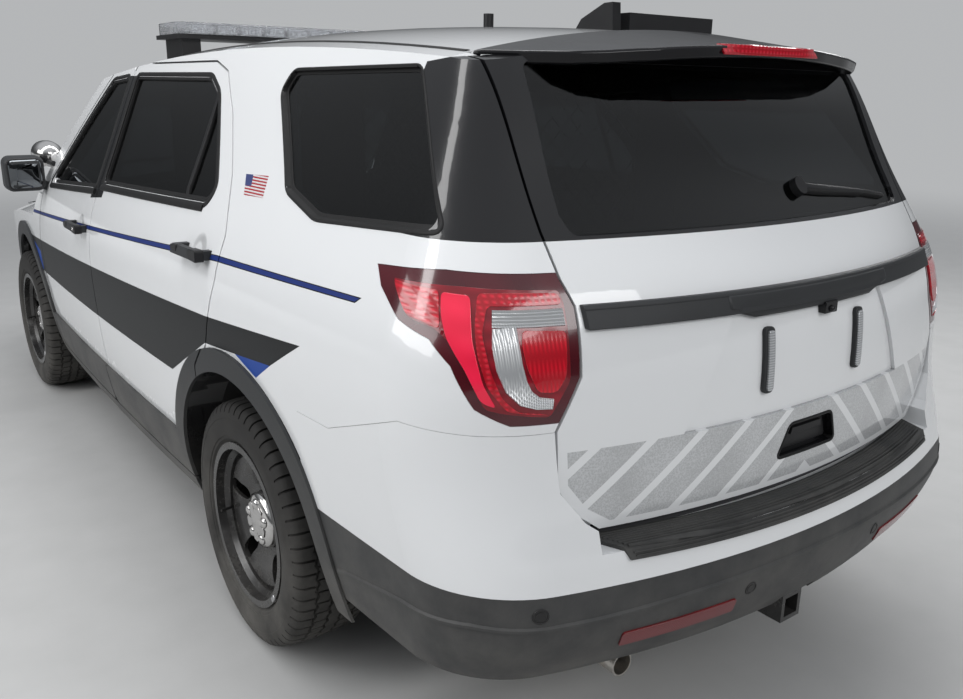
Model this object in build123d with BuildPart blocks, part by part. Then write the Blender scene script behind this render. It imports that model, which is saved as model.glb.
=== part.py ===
"""A mid-size police patrol car with its panels, doors, lids, wheels and steering.

Frame: +X to the car's left, +Y to its rear, +Z up, in millimetres.
The origin is on the ground below the middle of the car.
"""
from build123d import *
from functools import cache
from math import cos, radians, sin
import os

os.makedirs("parts", exist_ok=True)

# Ground plan
FRONT_AXLE_Y = -1558.0
REAR_AXLE_Y = 1308.0
WHEEL_X = 851.0
Y_WIDEST = 300.0

# Wheels
TYRE_R = 363.0
TYRE_W = 245.0
TYRE_SIDE = 14.0
BEAD_R = 229.0
SLOT_COUNT = 5
HUB_R = 62.0
SPINDLE_R = 32.0
BORE_CLEARANCE = 0.05

# Skin and wall thicknesses
SKIN_T = 25.0
LOW_WALL_T = 110.0
HIGH_WALL_T = 46.0
ROOF_T = 34.0
GLASS_T = 5.0
GLASS_DEPTH = 12.0
GLASS_CLEARANCE = 0.3
SEAT_GAP = 0.3
TRIM_T = 11.0

# Shut lines
PANEL_GAP = 6.0
REBATE = 24.0
REBATE_GAP = 10.0
FIXED_GAP = 1.0

# Wheel openings
ARCH_R = 450.0
CLADDING_R = 518.0
FRONT_WELL_X = 490.0
LINER_R = 478.0
LINER_X = 926.0
REAR_WELL_X = 690.0
WELL_T = 10.0
MOUNT_R = 60.0
MOUNT_LOW = 600.0
MOUNT_HIGH = 690.0
RAIL_X = 456.0
RAIL_W = 50.0
RAIL_Z = 380.0
RAIL_H = 70.0
RADIATOR_Y = -2240.0

# Heights
BODY_BOTTOM = 290.0
FLOOR_BOTTOM = 350.0
FLOOR_TOP = 392.0
CARGO_FLOOR_TOP = 770.0
LEDGE_Z = 664.0

# Body sections from the lowest to the highest:
# height, half width, rear corner x, rear corner y, rear middle y, rear radius,
# front corner x, front corner y, front middle y, front radius, bumper push to the rear
SECTIONS = [
    (240, 905, 845, 2170, 2345, 240, 800, -2100, -2380, 220, 40),
    (420, 962, 905, 2225, 2405, 260, 865, -2170, -2490, 260, 80),
    (600, 985, 925, 2245, 2430, 280, 890, -2190, -2518, 280, 84),
    (800, 998, 935, 2258, 2444, 300, 905, -2185, -2508, 290, 16),
    (950, 1000, 938, 2256, 2446, 300, 905, -2160, -2475, 300, 0),
    (1080, 982, 918, 2240, 2434, 290, 885, -2125, -2420, 300, 0),
    (1200, 938, 872, 2205, 2388, 260, 850, -2090, -2350, 280, 0),
    (1330, 882, 812, 2150, 2296, 210, 815, -2050, -2300, 260, 0),
    (1480, 820, 745, 2090, 2212, 160, 770, -2000, -2250, 240, 0),
    (1640, 752, 680, 2018, 2122, 120, 715, -1950, -2200, 220, 0),
    (1800, 672, 600, 1936, 2030, 100, 655, -1900, -2150, 200, 0),
]

# Side view of the top: heights of the line down the middle of the car
CROWN_R = 3200.0
ROOF_PEAK = (700.0, 1757.0)
HOOD_FRONT = (-2440.0, 968.0)
HOOD_MID = (-1850.0, 1083.0)
COWL = (-1250.0, 1135.0)
SCREEN_MID = (-820.0, 1440.0)
SCREEN_TOP = (-430.0, 1688.0)
ROOF_BACK = (1935.0, 1712.0)
TAIL = (2300.0, 1655.0)
SCREEN_SHIFT = 0.3

# Side view outlines, as y and z on the skin
FRONT_DOOR = [(-1030, 345), (-1092, 600), (-1075, 860), (-985, 1070), (-925, 1110),
              (-300, 1606), (-150, 1634), (-33, 1640), (-33, 345)]
REAR_DOOR = [(-27, 345), (-27, 1640), (740, 1640), (850, 1610), (985, 1490), (1120, 1330), (1215, 1180),
             (1222, 1060), (1160, 870), (1080, 790), (1080, 345)]
FRONT_WINDOW = [(-842, 1142), (-276, 1580), (-78, 1594), (-78, 1190)]
REAR_WINDOW = [(16, 1212), (16, 1597), (740, 1594), (840, 1545), (1045, 1290), (1020, 1246)]
QUARTER_WINDOW = [(1245, 1560), (1275, 1612), (1845, 1618), (2098, 1296), (1640, 1272), (1460, 1320)]
DOOR_CORNER_R = 38.0
DOOR_STEP_Z = 430.0
FENDER = [(-1041, 330), (-1098, 600), (-1081, 860), (-991, 1073), (-1010, 1250), (-2110, 1250),
          (-2110, 700), (-2070, 690), (-2044, 330)]
COVER_FRONT_Y = -2044.0
HEADLAMP = [(-2095, 985), (-2160, 835), (-2250, 765), (-2700, 765), (-2700, 925), (-2380, 925), (-2280, 990)]
HEADLAMP_INNER_X = 520.0
GRILLE = [(430, 640), (496, 770), (496, 892)]
LOWER_GRILLE = [(330, 400), (400, 560)]
WINDOW_CORNER_R = 24.0

# Rear view outline of the liftgate, as half width and z
GATE = [(598, 692), (655, 735), (700, 800), (706, 925), (652, 1030), (642, 1165), (655, 1215), (660, 1300),
        (655, 1760)]
GATE_WINDOW = [(598, 1290), (612, 1330), (590, 1630)]
GATE_SPLIT_Y = 1935.0

# Pockets pressed into the liftgate, half width and z
PLATE_POCKET = [(280, 1118), (412, 876)]
PLATE_POCKET_DEPTH = 10.0
HATCH_POCKET = [(78, 836), (108, 762)]
HATCH_POCKET_DEPTH = 21.0

# Seam between the rear bumper's cover and the quarter panel, as y and z
COVER_SEAM = [(1700, 830), (1850, 832), (2120, 930), (2260, 925)]

# Tail lamp, side view (y, z) and rear view (x, z)
LAMP_SIDE = [(1952, 1216), (1990, 1178), (2080, 1128), (2165, 1103), (2216, 1058), (2262, 978), (2305, 945),
             (2600, 936), (2600, 1217), (2140, 1230)]
LAMP_INNER_X = 600.0

# Hood: plan outline, half width and y
HOOD = [(0, -1262), (600, -1216), (795, -1150), (700, -2270), (560, -2390), (0, -2452)]
HOOD_LOW_Z = 905.0
HOOD_T = 28.0

# Roof panel half widths at its front and rear edges
ROOF_FRONT_HALF = 640.0
ROOF_BACK_HALF = 622.0

# Windscreen and cowl tray in plan, half width and y
WINDSCREEN = [(0, -1228), (500, -1190), (835, -1085), (648, -466), (0, -428)]
SCREEN_DEPTH = 8.0
COWL_TRAY = [(0, -1290), (780, -1200), (780, -1060), (0, -1060)]
COWL_DEPTH = 12.0
COWL_T = 20.0

# Rear bumper and panel
REAR_PANEL_HALF = 600.0
REAR_PANEL_BOTTOM = 380.0
LEDGE_HALF = 634.0
PAD_HALF = 628.0
PAD_T = 9.0
VALANCE_TOP = 598.0
VALANCE_BOTTOM = 368.0

# Liftgate fittings, half width and z
GATE_BAR = [(636, 1122), (636, 1168)]
BAR_T = 15.0
WARNING_LAMP = [(156, 930), (188, 930), (188, 1080), (156, 1080)]
SPOILER_HALF = 662.0
SPOILER_FRONT_Y = 1950.0
SPOILER_END_Y = 2150.0
SPOILER_MID_Y = 2240.0
SPOILER_RISE = 9.0
SPOILER_T = 44.0
LAMP_T = 40.0

# Grille slots, half width and height
GRILLE_SLOTS = [(400, 675), (420, 725), (440, 775), (450, 825), (450, 875)]
LOWER_SLOTS = [(310, 430), (330, 480), (350, 530)]
SLOT_H = 26.0

# Cladding, handles
CLADDING_TOP = 500.0
HANDLE_OUT = 42.0
HANDLE_T = 16.0
HANDLE_L = 190.0
HANDLE_W = 26.0
FRONT_HANDLE = (-170.0, 1035.0)
REAR_HANDLE = (1070.0, 1120.0)

# Wheel disc, rim and rotor sections about the axle, x and radius
HUB_IN = -40.0
HUB_OUT = 34.0
SLOT_RADIUS = 150.0
SLOT_L = 46.0
SLOT_W = 84.0
RIM_SECTION = [(-113, 241), (-106.5, 241), (-106.5, 228.7), (-84, 226), (-70, 213), (70, 213), (84, 226),
               (106.5, 228.7), (106.5, 241), (113, 241), (113, 221), (88, 219), (74, 206), (-74, 206),
               (-88, 219), (-113, 221)]
DISC_SECTION = [(62, 209), (72, 190), (66, 150), (50, 105), (46, 80), (62, 68), (72, 46), (76, 0), (34, 0), (34, 60),
                (40, 108), (56, 152), (62, 188), (52, 209)]
ROTOR_SECTION = [(-96, 168), (-74, 168), (-74, 80), (-40, 80), (-40, 40), (-48, 40), (-48, 66), (-96, 66)]

# Cabin
FLOOR = [(-1130, 350), (1140, 350), (1140, 730), (2300, 730), (2300, 770), (1100, 770), (1100, 392), (-1130, 392)]
DASH = [(-1130, 700), (-1130, 1080), (-1000, 1090), (-760, 1040), (-700, 980), (-720, 760), (-860, 640), (-1000, 640)]
CONSOLE = [(-1000, 392.3), (-1000, 760), (-760, 760), (-560, 620), (100, 620), (120, 392.3)]
SEAT = [(-430, 392.3), (-440, 690), (-400, 740), (20, 700), (150, 1230), (230, 1250), (290, 1220), (160, 560),
        (120, 392.3)]
HEADREST = [(180, 1200), (150, 1290), (190, 1420), (270, 1420), (290, 1290), (250, 1200)]
BENCH = [(600, 392.3), (580, 690), (620, 720), (1010, 680), (1090, 1180), (1150, 1230), (1210, 1200), (1200, 776),
         (1078, 776), (1078, 392.3)]
BENCH_HALF = 600.0
CONSOLE_HALF = 105.0
CABIN_GAP = 10.0
PARTITION_Y = 322.0
CARGO_PARTITION_Y = 1290.0
RING_R = 170.0
SHAFT_R = 12.0
HUB_GAP = 6.0
BAR_HALF = 600.0
BAR_Y = -150.0
BAR_DEPTH = 280.0
BAR_BASE = (1742.0, 1758.0)
BAR_TOP = 1802.0
BAR_FOOT_X = (500.0, 575.0)
FIN = [(1555, 1600), (1580, 1738), (1600, 1762), (1690, 1799), (1722, 1800), (1738, 1600)]
FIN_HALF = 15.0
ROOF_BOX = (-385, -45, 1590, 1730, 1600, 1776)
STUB_AERIAL = (0.0, 1150.0)
STUB_AERIAL_R = 16.0
STUB_AERIAL_TOP = 1800.0
SPOTLIGHT = (905.0, 1252.0)
SPOTLIGHT_R = 58.0
MIRROR_AT = (1037, -925, 1180)
MIRROR_SIZE = (165, 118, 155)
MIRROR_R = 34.0
MIRROR_ARM = [(940, 1098), (1040, 1130), (1040, 1176), (940, 1140)]
RECEIVER_Y = 2452.0
RECEIVER_Z = 340.0
STRUT_R = 26.0
ENGINE_BACK_Y = -1460.0
ENGINE_BOTTOM = 285.0
PIPE_X = 290.0
PIPE_Z = 305.0
PIPE_R = 32.0
MUFFLER_Y = 1990.0
MUFFLER_SIZE = (460.0, 330.0, 130.0)
TIP_X = 490.0
TIP_Z = 312.0
TIP_R = 30.0
TIP_END_Y = 2352.0
HITCH_PIN_R = 8.0
FIREWALL_Y = -1130.0
FIREWALL_T = 26.0
SEAT_X = 372.0
SEAT_HALF = 255.0
WHEEL_HUB = (SEAT_X, -540.0, 955.0)
COLUMN_TILT = 24.0

# Steering and its axis, leaning inboard towards the top
KINGPIN_LOW = (700.0, 165.0)
KINGPIN_HIGH = (640.0, 900.0)


def outline(row, inset=0.0, push=0.0):
    """One closed plan outline of the body, drawn inset from the skin."""
    z, half, rear_x, rear_y, rear_mid, rear_r, front_x, front_y, front_mid, front_r, _ = row
    half -= inset
    rear_x -= inset
    front_x -= inset
    rear_y += push - 0.45 * inset
    rear_mid += push - inset
    front_y += 0.45 * inset
    front_mid += inset
    with BuildSketch(Plane.XY.offset(z)) as plan:
        with BuildLine():
            ThreePointArc((rear_x, rear_y), (0, rear_mid), (-rear_x, rear_y))
            ThreePointArc((-rear_x, rear_y), (-half, Y_WIDEST), (-front_x, front_y))
            ThreePointArc((-front_x, front_y), (0, front_mid), (front_x, front_y))
            ThreePointArc((front_x, front_y), (half, Y_WIDEST), (rear_x, rear_y))
        make_face()
        fillet(plan.vertices().group_by(Axis.Y)[-1], radius=max(rear_r - inset, 45))
        fillet(plan.vertices().group_by(Axis.Y)[0], radius=max(front_r - inset, 45))
    return plan.sketch


def wall_inset(z):
    """Inset of the inner wall: thick doors below the belt, thin frames above it."""
    share = min(max((z - 1080.0) / 180.0, 0.0), 1.0)
    return LOW_WALL_T + (HIGH_WALL_T - LOW_WALL_T) * share


@cache
def body_loft(inset=0.0, pushed=False, thick=False):
    """The body's outer form, or the same form set in from its skin."""
    outlines = []
    for row in SECTIONS:
        depth = inset + (wall_inset(row[0]) if thick else 0.0)
        outlines.append(outline(row, depth, row[-1] if pushed else 0.0))
    with BuildPart() as form:
        loft(outlines)
    return form.part


@cache
def top_form(inset=0.0):
    """Everything below the hood, windscreen and roof line, crowned across the car."""
    with BuildSketch(Plane.YZ) as side:
        with BuildLine():
            Line((-3000, -300), (-3000, 700))
            Line((-3000, 700), HOOD_FRONT)
            ThreePointArc(HOOD_FRONT, HOOD_MID, COWL)
            ThreePointArc(COWL, SCREEN_MID, SCREEN_TOP)
            ThreePointArc(SCREEN_TOP, ROOF_PEAK, ROOF_BACK)
            Line(ROOF_BACK, TAIL)
            Line(TAIL, (3000, 1500))
            Line((3000, 1500), (3000, -300))
            Line((3000, -300), (-3000, -300))
        make_face()
    axis = Axis((0, 0, ROOF_PEAK[1] - CROWN_R), (0, 1, 0))
    with BuildPart() as form:
        add(side.sketch)
        revolve(axis=axis, revolution_arc=60)
    return form.part.rotate(axis, -30).moved(Location((0, SCREEN_SHIFT * inset, -inset)))


def side_shape(points, radius=0.0, grow=0.0, arch=False, start=450.0):
    """A closed outline in side view, grown by an offset if asked."""
    with BuildSketch(Plane.YZ.offset(start)) as shape:
        with BuildLine():
            Polyline(*points, close=True)
        make_face()
        if radius:
            fillet(shape.vertices(), radius=radius)
        if arch:
            with Locations((REAR_AXLE_Y, TYRE_R)):
                Circle(ARCH_R, mode=Mode.SUBTRACT)
        if grow:
            offset(amount=grow, kind=Kind.INTERSECTION)
    return shape.sketch


def side_prism(sketch, reach=1300.0):
    """A side view outline carried out through the left side of the car."""
    with BuildPart() as prism:
        extrude(sketch, amount=reach)
    return prism.part


def rear_shape(points, grow=0.0, radius=0.0):
    """A symmetrical outline in rear view from its left half."""
    right = [(-x, z) for x, z in reversed(points)]
    with BuildSketch(Plane.XZ.offset(-1400)) as shape:
        with BuildLine():
            Polyline(*points, *right, close=True)
        make_face()
        if radius:
            fillet(shape.vertices(), radius=radius)
        if grow:
            offset(amount=grow, kind=Kind.INTERSECTION)
    return shape.sketch


def rear_prism(sketch):
    """A rear view outline carried out through the tail of the car."""
    with BuildPart() as prism:
        extrude(sketch, amount=-1400)
    return prism.part


def plan_prism(points, grow=0.0, low=0.0, high=2200.0):
    """A symmetrical plan outline from its left half, carried upwards."""
    right = [(-x, y) for x, y in reversed(points) if x > 0]
    with BuildPart() as prism:
        with BuildSketch(Plane.XY.offset(low)):
            with BuildLine():
                Polyline(*points, *right, close=True)
            make_face()
            if grow:
                offset(amount=grow, kind=Kind.INTERSECTION)
        extrude(amount=high - low)
    return prism.part


def block(x0, x1, y0, y1, z0, z1):
    """A plain block between two corners."""
    with BuildPart() as solid:
        with Locations(((x0 + x1) / 2, (y0 + y1) / 2, (z0 + z1) / 2)):
            Box(x1 - x0, y1 - y0, z1 - z0)
    return solid.part


def drum(y, radius, x0, x1, z=TYRE_R):
    """A cylinder across the car about a wheel's axle."""
    with BuildPart() as solid:
        with BuildSketch(Plane.YZ.offset(x0)):
            with Locations((y, z)):
                Circle(radius)
        extrude(amount=x1 - x0)
    return solid.part


def profile_block(points, x0, x1, radius=0.0):
    """A side view profile, y and z, carried across from x0 to x1."""
    with BuildPart() as solid:
        with BuildSketch(Plane.YZ.offset(x0)) as side:
            with BuildLine():
                Polyline(*points, close=True)
            make_face()
            if radius:
                fillet(side.vertices(), radius=radius)
        extrude(amount=x1 - x0)
    return solid.part


def write(solid, name):
    """Labels one piece and writes it as a STEP file."""
    solid.label = name
    export_step(solid, f"parts/{name}.step")


def mirrored(solid):
    """The same piece on the car's right side."""
    return mirror(solid, about=Plane.YZ)


def both(solid):
    """One left piece and its mirror image as two solids of one node."""
    return Compound(children=[Part(solid.wrapped), Part(mirrored(solid).wrapped)])


def write_pair(solid, pattern):
    """Writes a left piece and its mirror image on the right."""
    write(solid, pattern.format("left"))
    write(mirrored(solid), pattern.format("right"))


def front_prism(points, grow=0.0):
    """A symmetrical front view outline carried out through the nose."""
    right = [(-x, z) for x, z in reversed(points)]
    with BuildPart() as prism:
        with BuildSketch(Plane.XZ.offset(2000)):
            with BuildLine():
                Polyline(*points, *right, close=True)
            make_face()
            if grow:
                offset(amount=grow, kind=Kind.INTERSECTION)
        extrude(amount=800)
    return prism.part


def front_slots(rows):
    """Slots through a grille: half width and height of the middle of each."""
    with BuildPart() as prism:
        with BuildSketch(Plane.XZ.offset(2000)):
            for half, z in rows:
                with Locations((0, z)):
                    SlotOverall(2 * half, SLOT_H)
        extrude(amount=800)
    return prism.part


def kingpin_drum(radius, near, far):
    """A cylinder along the left steering axis, from and to distances above its foot."""
    lean = Vector(KINGPIN_HIGH[0] - KINGPIN_LOW[0], 0, KINGPIN_HIGH[1] - KINGPIN_LOW[1]).normalized()
    foot = Plane(origin=(KINGPIN_LOW[0], FRONT_AXLE_Y, KINGPIN_LOW[1]), x_dir=(0, 1, 0), z_dir=lean)
    with BuildPart() as solid:
        with BuildSketch(foot.offset(near)):
            Circle(radius)
        extrude(amount=far - near)
    return solid.part


def rear_shape_one(points):
    """A closed outline in rear view on the left side only."""
    with BuildSketch(Plane.XZ.offset(-1400)) as shape:
        with BuildLine():
            Polyline(*points, close=True)
        make_face()
    return shape.sketch


def plan_arc_prism():
    """The spoiler's plan, with its curved rear edge, carried upwards."""
    with BuildPart() as prism:
        with BuildSketch(Plane.XY.offset(1300)):
            with BuildLine():
                Polyline((-SPOILER_HALF, SPOILER_END_Y), (-SPOILER_HALF + 12, SPOILER_FRONT_Y),
                         (SPOILER_HALF - 12, SPOILER_FRONT_Y), (SPOILER_HALF, SPOILER_END_Y))
                ThreePointArc((SPOILER_HALF, SPOILER_END_Y), (0, SPOILER_MID_Y), (-SPOILER_HALF, SPOILER_END_Y))
            make_face()
        extrude(amount=700)
    return prism.part


# Forms that the panels are cut from
outer = body_loft() & top_form()
under_skin = body_loft(SKIN_T)
inner_wall = body_loft(0.0, thick=True)
cabin = inner_wall & top_form(ROOF_T)
cladding_form = body_loft(-TRIM_T)
seat_form = body_loft(-SEAT_GAP)
bumper_form = body_loft(pushed=True)
lamp_back = body_loft(LAMP_T)
glass_outside = body_loft(GLASS_DEPTH)
glass_inside = body_loft(GLASS_DEPTH + GLASS_T)
front_limit = body_loft(SKIN_T + FIXED_GAP) & top_form(HOOD_T + FIXED_GAP)

front_well = drum(FRONT_AXLE_Y, ARCH_R, FRONT_WELL_X, 1300)
front_liner = drum(FRONT_AXLE_Y, LINER_R + WELL_T + FIXED_GAP, FRONT_WELL_X, LINER_X)
rear_well = drum(REAR_AXLE_Y, ARCH_R, REAR_WELL_X, 1300)

# Zones between the shut lines
roof_outline = [(0, -426), (ROOF_FRONT_HALF, -464), (ROOF_BACK_HALF, GATE_SPLIT_Y - PANEL_GAP),
                (0, GATE_SPLIT_Y - PANEL_GAP)]
gate_edge = rear_prism(rear_shape(GATE))
gate_opening = rear_prism(rear_shape(GATE, PANEL_GAP))
gate_step = rear_prism(rear_shape(GATE, -REBATE))
gate_step_opening = rear_prism(rear_shape(GATE, REBATE_GAP - REBATE))
gate_hole = rear_prism(rear_shape(GATE_WINDOW, 0.0, WINDOW_CORNER_R))
gate_pane = rear_prism(rear_shape(GATE_WINDOW, -GLASS_CLEARANCE, WINDOW_CORNER_R))
behind_split = block(-1300, 1300, GATE_SPLIT_Y, 3000, 0, 2200)
behind_opening = block(-1300, 1300, GATE_SPLIT_Y - PANEL_GAP, 3000, 0, 2200)
cover_seam = COVER_SEAM + [(3000, 925), (3000, 0), (1700, 0)]
cover_zone = side_prism(side_shape(cover_seam, start=0.0))
lamp_zone = side_prism(side_shape(LAMP_SIDE, start=LAMP_INNER_X))
lamp_opening = side_prism(side_shape(LAMP_SIDE, grow=FIXED_GAP, start=LAMP_INNER_X - FIXED_GAP))
fender_zone = side_prism(side_shape(FENDER, start=0.0))
headlamp_zone = side_prism(side_shape(HEADLAMP, start=HEADLAMP_INNER_X))
headlamp_opening = side_prism(side_shape(HEADLAMP, grow=FIXED_GAP, start=HEADLAMP_INNER_X - FIXED_GAP))
hood_zone = plan_prism(HOOD, low=HOOD_LOW_Z)
hood_opening = plan_prism(HOOD, PANEL_GAP, low=HOOD_LOW_Z - PANEL_GAP)
quarter_hole = side_prism(side_shape(QUARTER_WINDOW, WINDOW_CORNER_R))
quarter_pane = side_prism(side_shape(QUARTER_WINDOW, WINDOW_CORNER_R, -GLASS_CLEARANCE))


def door(points, window, arch=False):
    """The forms of one left door: panel, opening through the skin, opening through the wall, glass."""
    edge = side_prism(side_shape(points, DOOR_CORNER_R, 0.0, arch))
    step = side_prism(side_shape(points, DOOR_CORNER_R, -REBATE, arch)) & block(0, 1300, -2000, 2000, DOOR_STEP_Z, 2200)
    skin_opening = side_prism(side_shape(points, DOOR_CORNER_R, PANEL_GAP, arch))
    wall_opening = side_prism(side_shape(points, DOOR_CORNER_R, REBATE_GAP - REBATE, arch)) & block(
        0, 1300, -2000, 2000, DOOR_STEP_Z - REBATE_GAP, 2200)
    hole = side_prism(side_shape(window, WINDOW_CORNER_R))
    pane = side_prism(side_shape(window, WINDOW_CORNER_R, -GLASS_CLEARANCE))
    with BuildPart() as rim:
        add(edge)
        add(step, mode=Mode.SUBTRACT)
        add(under_skin, mode=Mode.INTERSECT)
    with BuildPart() as panel:
        add(edge)
        add(outer, mode=Mode.INTERSECT)
        add(inner_wall, mode=Mode.SUBTRACT)
        add(rim.part, mode=Mode.SUBTRACT)
        add(hole, mode=Mode.SUBTRACT)
    with BuildPart() as skin_cut:
        add(skin_opening)
        add(under_skin, mode=Mode.SUBTRACT)
    with BuildPart() as glass:
        add(pane)
        add(glass_outside, mode=Mode.INTERSECT)
        add(glass_inside, mode=Mode.SUBTRACT)
    return panel.part, skin_cut.part, wall_opening, glass.part


front_door, front_skin_cut, front_wall_cut, front_glass = door(FRONT_DOOR, FRONT_WINDOW)
rear_door, rear_skin_cut, rear_wall_cut, rear_glass = door(REAR_DOOR, REAR_WINDOW, arch=True)

# Body sides: sills, pillars, roof rails and quarter panels
roof_cut = plan_prism(roof_outline, FIXED_GAP, low=1500)
with BuildPart() as quarter_skin_cut:
    add(cover_zone)
    add(under_skin, mode=Mode.SUBTRACT)
with BuildPart() as fender_skin_cut:
    add(fender_zone)
    add(front_limit, mode=Mode.SUBTRACT)
with BuildPart() as gate_wall_cut:
    add(gate_step_opening)
    add(behind_opening, mode=Mode.INTERSECT)
with BuildPart() as gate_skin_cut:
    add(gate_opening)
    add(behind_opening, mode=Mode.INTERSECT)
    add(under_skin, mode=Mode.SUBTRACT)
lamp_cut = lamp_opening - body_loft(LAMP_T + FIXED_GAP)
rear_panel_zone = block(-REAR_PANEL_HALF, REAR_PANEL_HALF, 2000, 2600, REAR_PANEL_BOTTOM, GATE[0][1] - PANEL_GAP)
rear_panel_cut = block(-REAR_PANEL_HALF - FIXED_GAP, REAR_PANEL_HALF + FIXED_GAP, 2000, 2600, 0, GATE[0][1])
screen_cut = plan_prism(WINDSCREEN, low=900)
cowl_cut = plan_prism(COWL_TRAY, FIXED_GAP, low=900) & front_limit
tail_underside = block(0, 1300, REAR_AXLE_Y + 100, 2600, 0, REAR_PANEL_BOTTOM)
with BuildPart() as body_side:
    add(block(0.0, 1300, FIREWALL_Y, 2600, BODY_BOTTOM, 2200))
    add(outer, mode=Mode.INTERSECT)
    for cut in (cabin, front_skin_cut, front_wall_cut, rear_skin_cut, rear_wall_cut, quarter_skin_cut.part,
                fender_skin_cut.part, gate_wall_cut.part, gate_skin_cut.part, roof_cut, lamp_cut,
                quarter_hole, rear_well, rear_panel_cut, screen_cut, cowl_cut, front_liner, tail_underside):
        add(cut, mode=Mode.SUBTRACT)
write(body_side.part, "body_side_left")
write(mirrored(body_side.part), "body_side_right")
write_pair(front_door, "front_door_{}")
write_pair(rear_door, "rear_door_{}")
write_pair(front_glass, "front_door_glass_{}")
write_pair(rear_glass, "rear_door_glass_{}")

# Rear panel below the liftgate, behind the bumper
with BuildPart() as rear_panel:
    add(rear_panel_zone)
    add(under_skin, mode=Mode.INTERSECT)
    add(cabin, mode=Mode.SUBTRACT)
write(rear_panel.part, "rear_panel")

# Roof panel between the two roof rails
with BuildPart() as roof_panel:
    add(plan_prism(roof_outline, low=1500))
    add(outer, mode=Mode.INTERSECT)
    add(top_form(ROOF_T), mode=Mode.SUBTRACT)
write(roof_panel.part, "roof_panel")

# Windscreen and quarter windows
with BuildPart() as fixed_glass:
    add(plan_prism(WINDSCREEN, -GLASS_CLEARANCE, low=900))
    add(top_form(SCREEN_DEPTH), mode=Mode.INTERSECT)
    add(top_form(SCREEN_DEPTH + GLASS_T), mode=Mode.SUBTRACT)
with BuildPart() as quarter_glass:
    add(quarter_pane)
    add(glass_outside, mode=Mode.INTERSECT)
    add(glass_inside, mode=Mode.SUBTRACT)
write(Compound(children=[fixed_glass.part, both(quarter_glass.part)]), "fixed_glass")

# Firewall and the cowl tray below the windscreen
with BuildPart() as tray:
    add(plan_prism(COWL_TRAY, low=900))
    add(under_skin, mode=Mode.INTERSECT)
    add(top_form(COWL_DEPTH), mode=Mode.INTERSECT)
    add(top_form(COWL_DEPTH + COWL_T), mode=Mode.SUBTRACT)
with BuildPart() as cowl:
    add(block(-860, 860, FIREWALL_Y - FIREWALL_T - SEAT_GAP, FIREWALL_Y - SEAT_GAP, FLOOR_BOTTOM, 1500))
    add(front_limit, mode=Mode.INTERSECT)
    add(top_form(COWL_DEPTH + COWL_T / 2), mode=Mode.INTERSECT)
    add(tray.part)
    add(hood_opening & top_form(-50), mode=Mode.SUBTRACT)
    add(plan_prism(WINDSCREEN, FIXED_GAP, low=1000), mode=Mode.SUBTRACT)
    add(front_liner, mode=Mode.SUBTRACT)
    add(mirrored(front_liner), mode=Mode.SUBTRACT)
write(cowl.part, "cowl")

# Floor pan, stepped up to the cargo floor
rear_house = drum(REAR_AXLE_Y, ARCH_R + WELL_T + FIXED_GAP, REAR_WELL_X - WELL_T - FIXED_GAP, 1300)
with BuildPart() as floor_pan:
    add(profile_block(FLOOR, -1000, 1000))
    add(body_loft(SEAT_GAP, thick=True), mode=Mode.INTERSECT)
    for cut in (rear_house, front_liner):
        add(cut, mode=Mode.SUBTRACT)
        add(mirrored(cut), mode=Mode.SUBTRACT)
write(floor_pan.part, "floor_pan")

# Wheelhouses
with BuildPart() as rear_wheelhouse:
    add(drum(REAR_AXLE_Y, ARCH_R + WELL_T, REAR_WELL_X - WELL_T, 1300))
    add(rear_well, mode=Mode.SUBTRACT)
    add(body_loft(SEAT_GAP, thick=True), mode=Mode.INTERSECT)
    add(block(0, 1300, 500, 2300, FLOOR_TOP + 20, 1200), mode=Mode.INTERSECT)
write(both(rear_wheelhouse.part), "rear_wheelhouses")
with BuildPart() as front_wheelhouse:
    add(drum(FRONT_AXLE_Y, LINER_R + WELL_T, FRONT_WELL_X - WELL_T, LINER_X - FIXED_GAP))
    add(kingpin_drum(MOUNT_R, MOUNT_LOW, MOUNT_HIGH))
    add(drum(FRONT_AXLE_Y, LINER_R, FRONT_WELL_X, 1300) - kingpin_drum(MOUNT_R, MOUNT_LOW, MOUNT_HIGH),
        mode=Mode.SUBTRACT)
    add(kingpin_drum(MOUNT_R - 15, MOUNT_LOW - 20, MOUNT_HIGH - 30), mode=Mode.SUBTRACT)
    add(front_limit, mode=Mode.INTERSECT)
    add(block(0, 1300, -2100, FIREWALL_Y - FIREWALL_T - 2, 420, 1200), mode=Mode.INTERSECT)
    add(block(0, FRONT_WELL_X + 1, -1750, -1370, 0, 650), mode=Mode.SUBTRACT)
    add(block(RAIL_X - RAIL_W / 2, RAIL_X + RAIL_W / 2, RADIATOR_Y + SEAT_GAP, FIREWALL_Y - FIREWALL_T - 2 * SEAT_GAP,
              RAIL_Z, RAIL_Z + RAIL_H))
write(both(front_wheelhouse.part), "front_wheelhouses")
with BuildPart() as radiator:
    add(block(-380, 380, RADIATOR_Y - 60, RADIATOR_Y, 330, 880))
    add(block(-500, 500, RADIATOR_Y - 30, RADIATOR_Y, RAIL_Z, RAIL_Z + RAIL_H))
    add(block(-500, 500, RADIATOR_Y - 60, RADIATOR_Y, 850, 885))
    for x in (-420, 420):
        add(block(x - 12, x + 12, RADIATOR_Y - 50, RADIATOR_Y - 26, 880, 1100))
    add(under_skin, mode=Mode.INTERSECT)
    add(top_form(HOOD_T + SEAT_GAP), mode=Mode.INTERSECT)
write(radiator.part, "radiator")

# Hood
with BuildPart() as hood:
    add(hood_zone)
    add(outer, mode=Mode.INTERSECT)
    add(under_skin & top_form(HOOD_T), mode=Mode.SUBTRACT)
write(hood.part, "hood")

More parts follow.
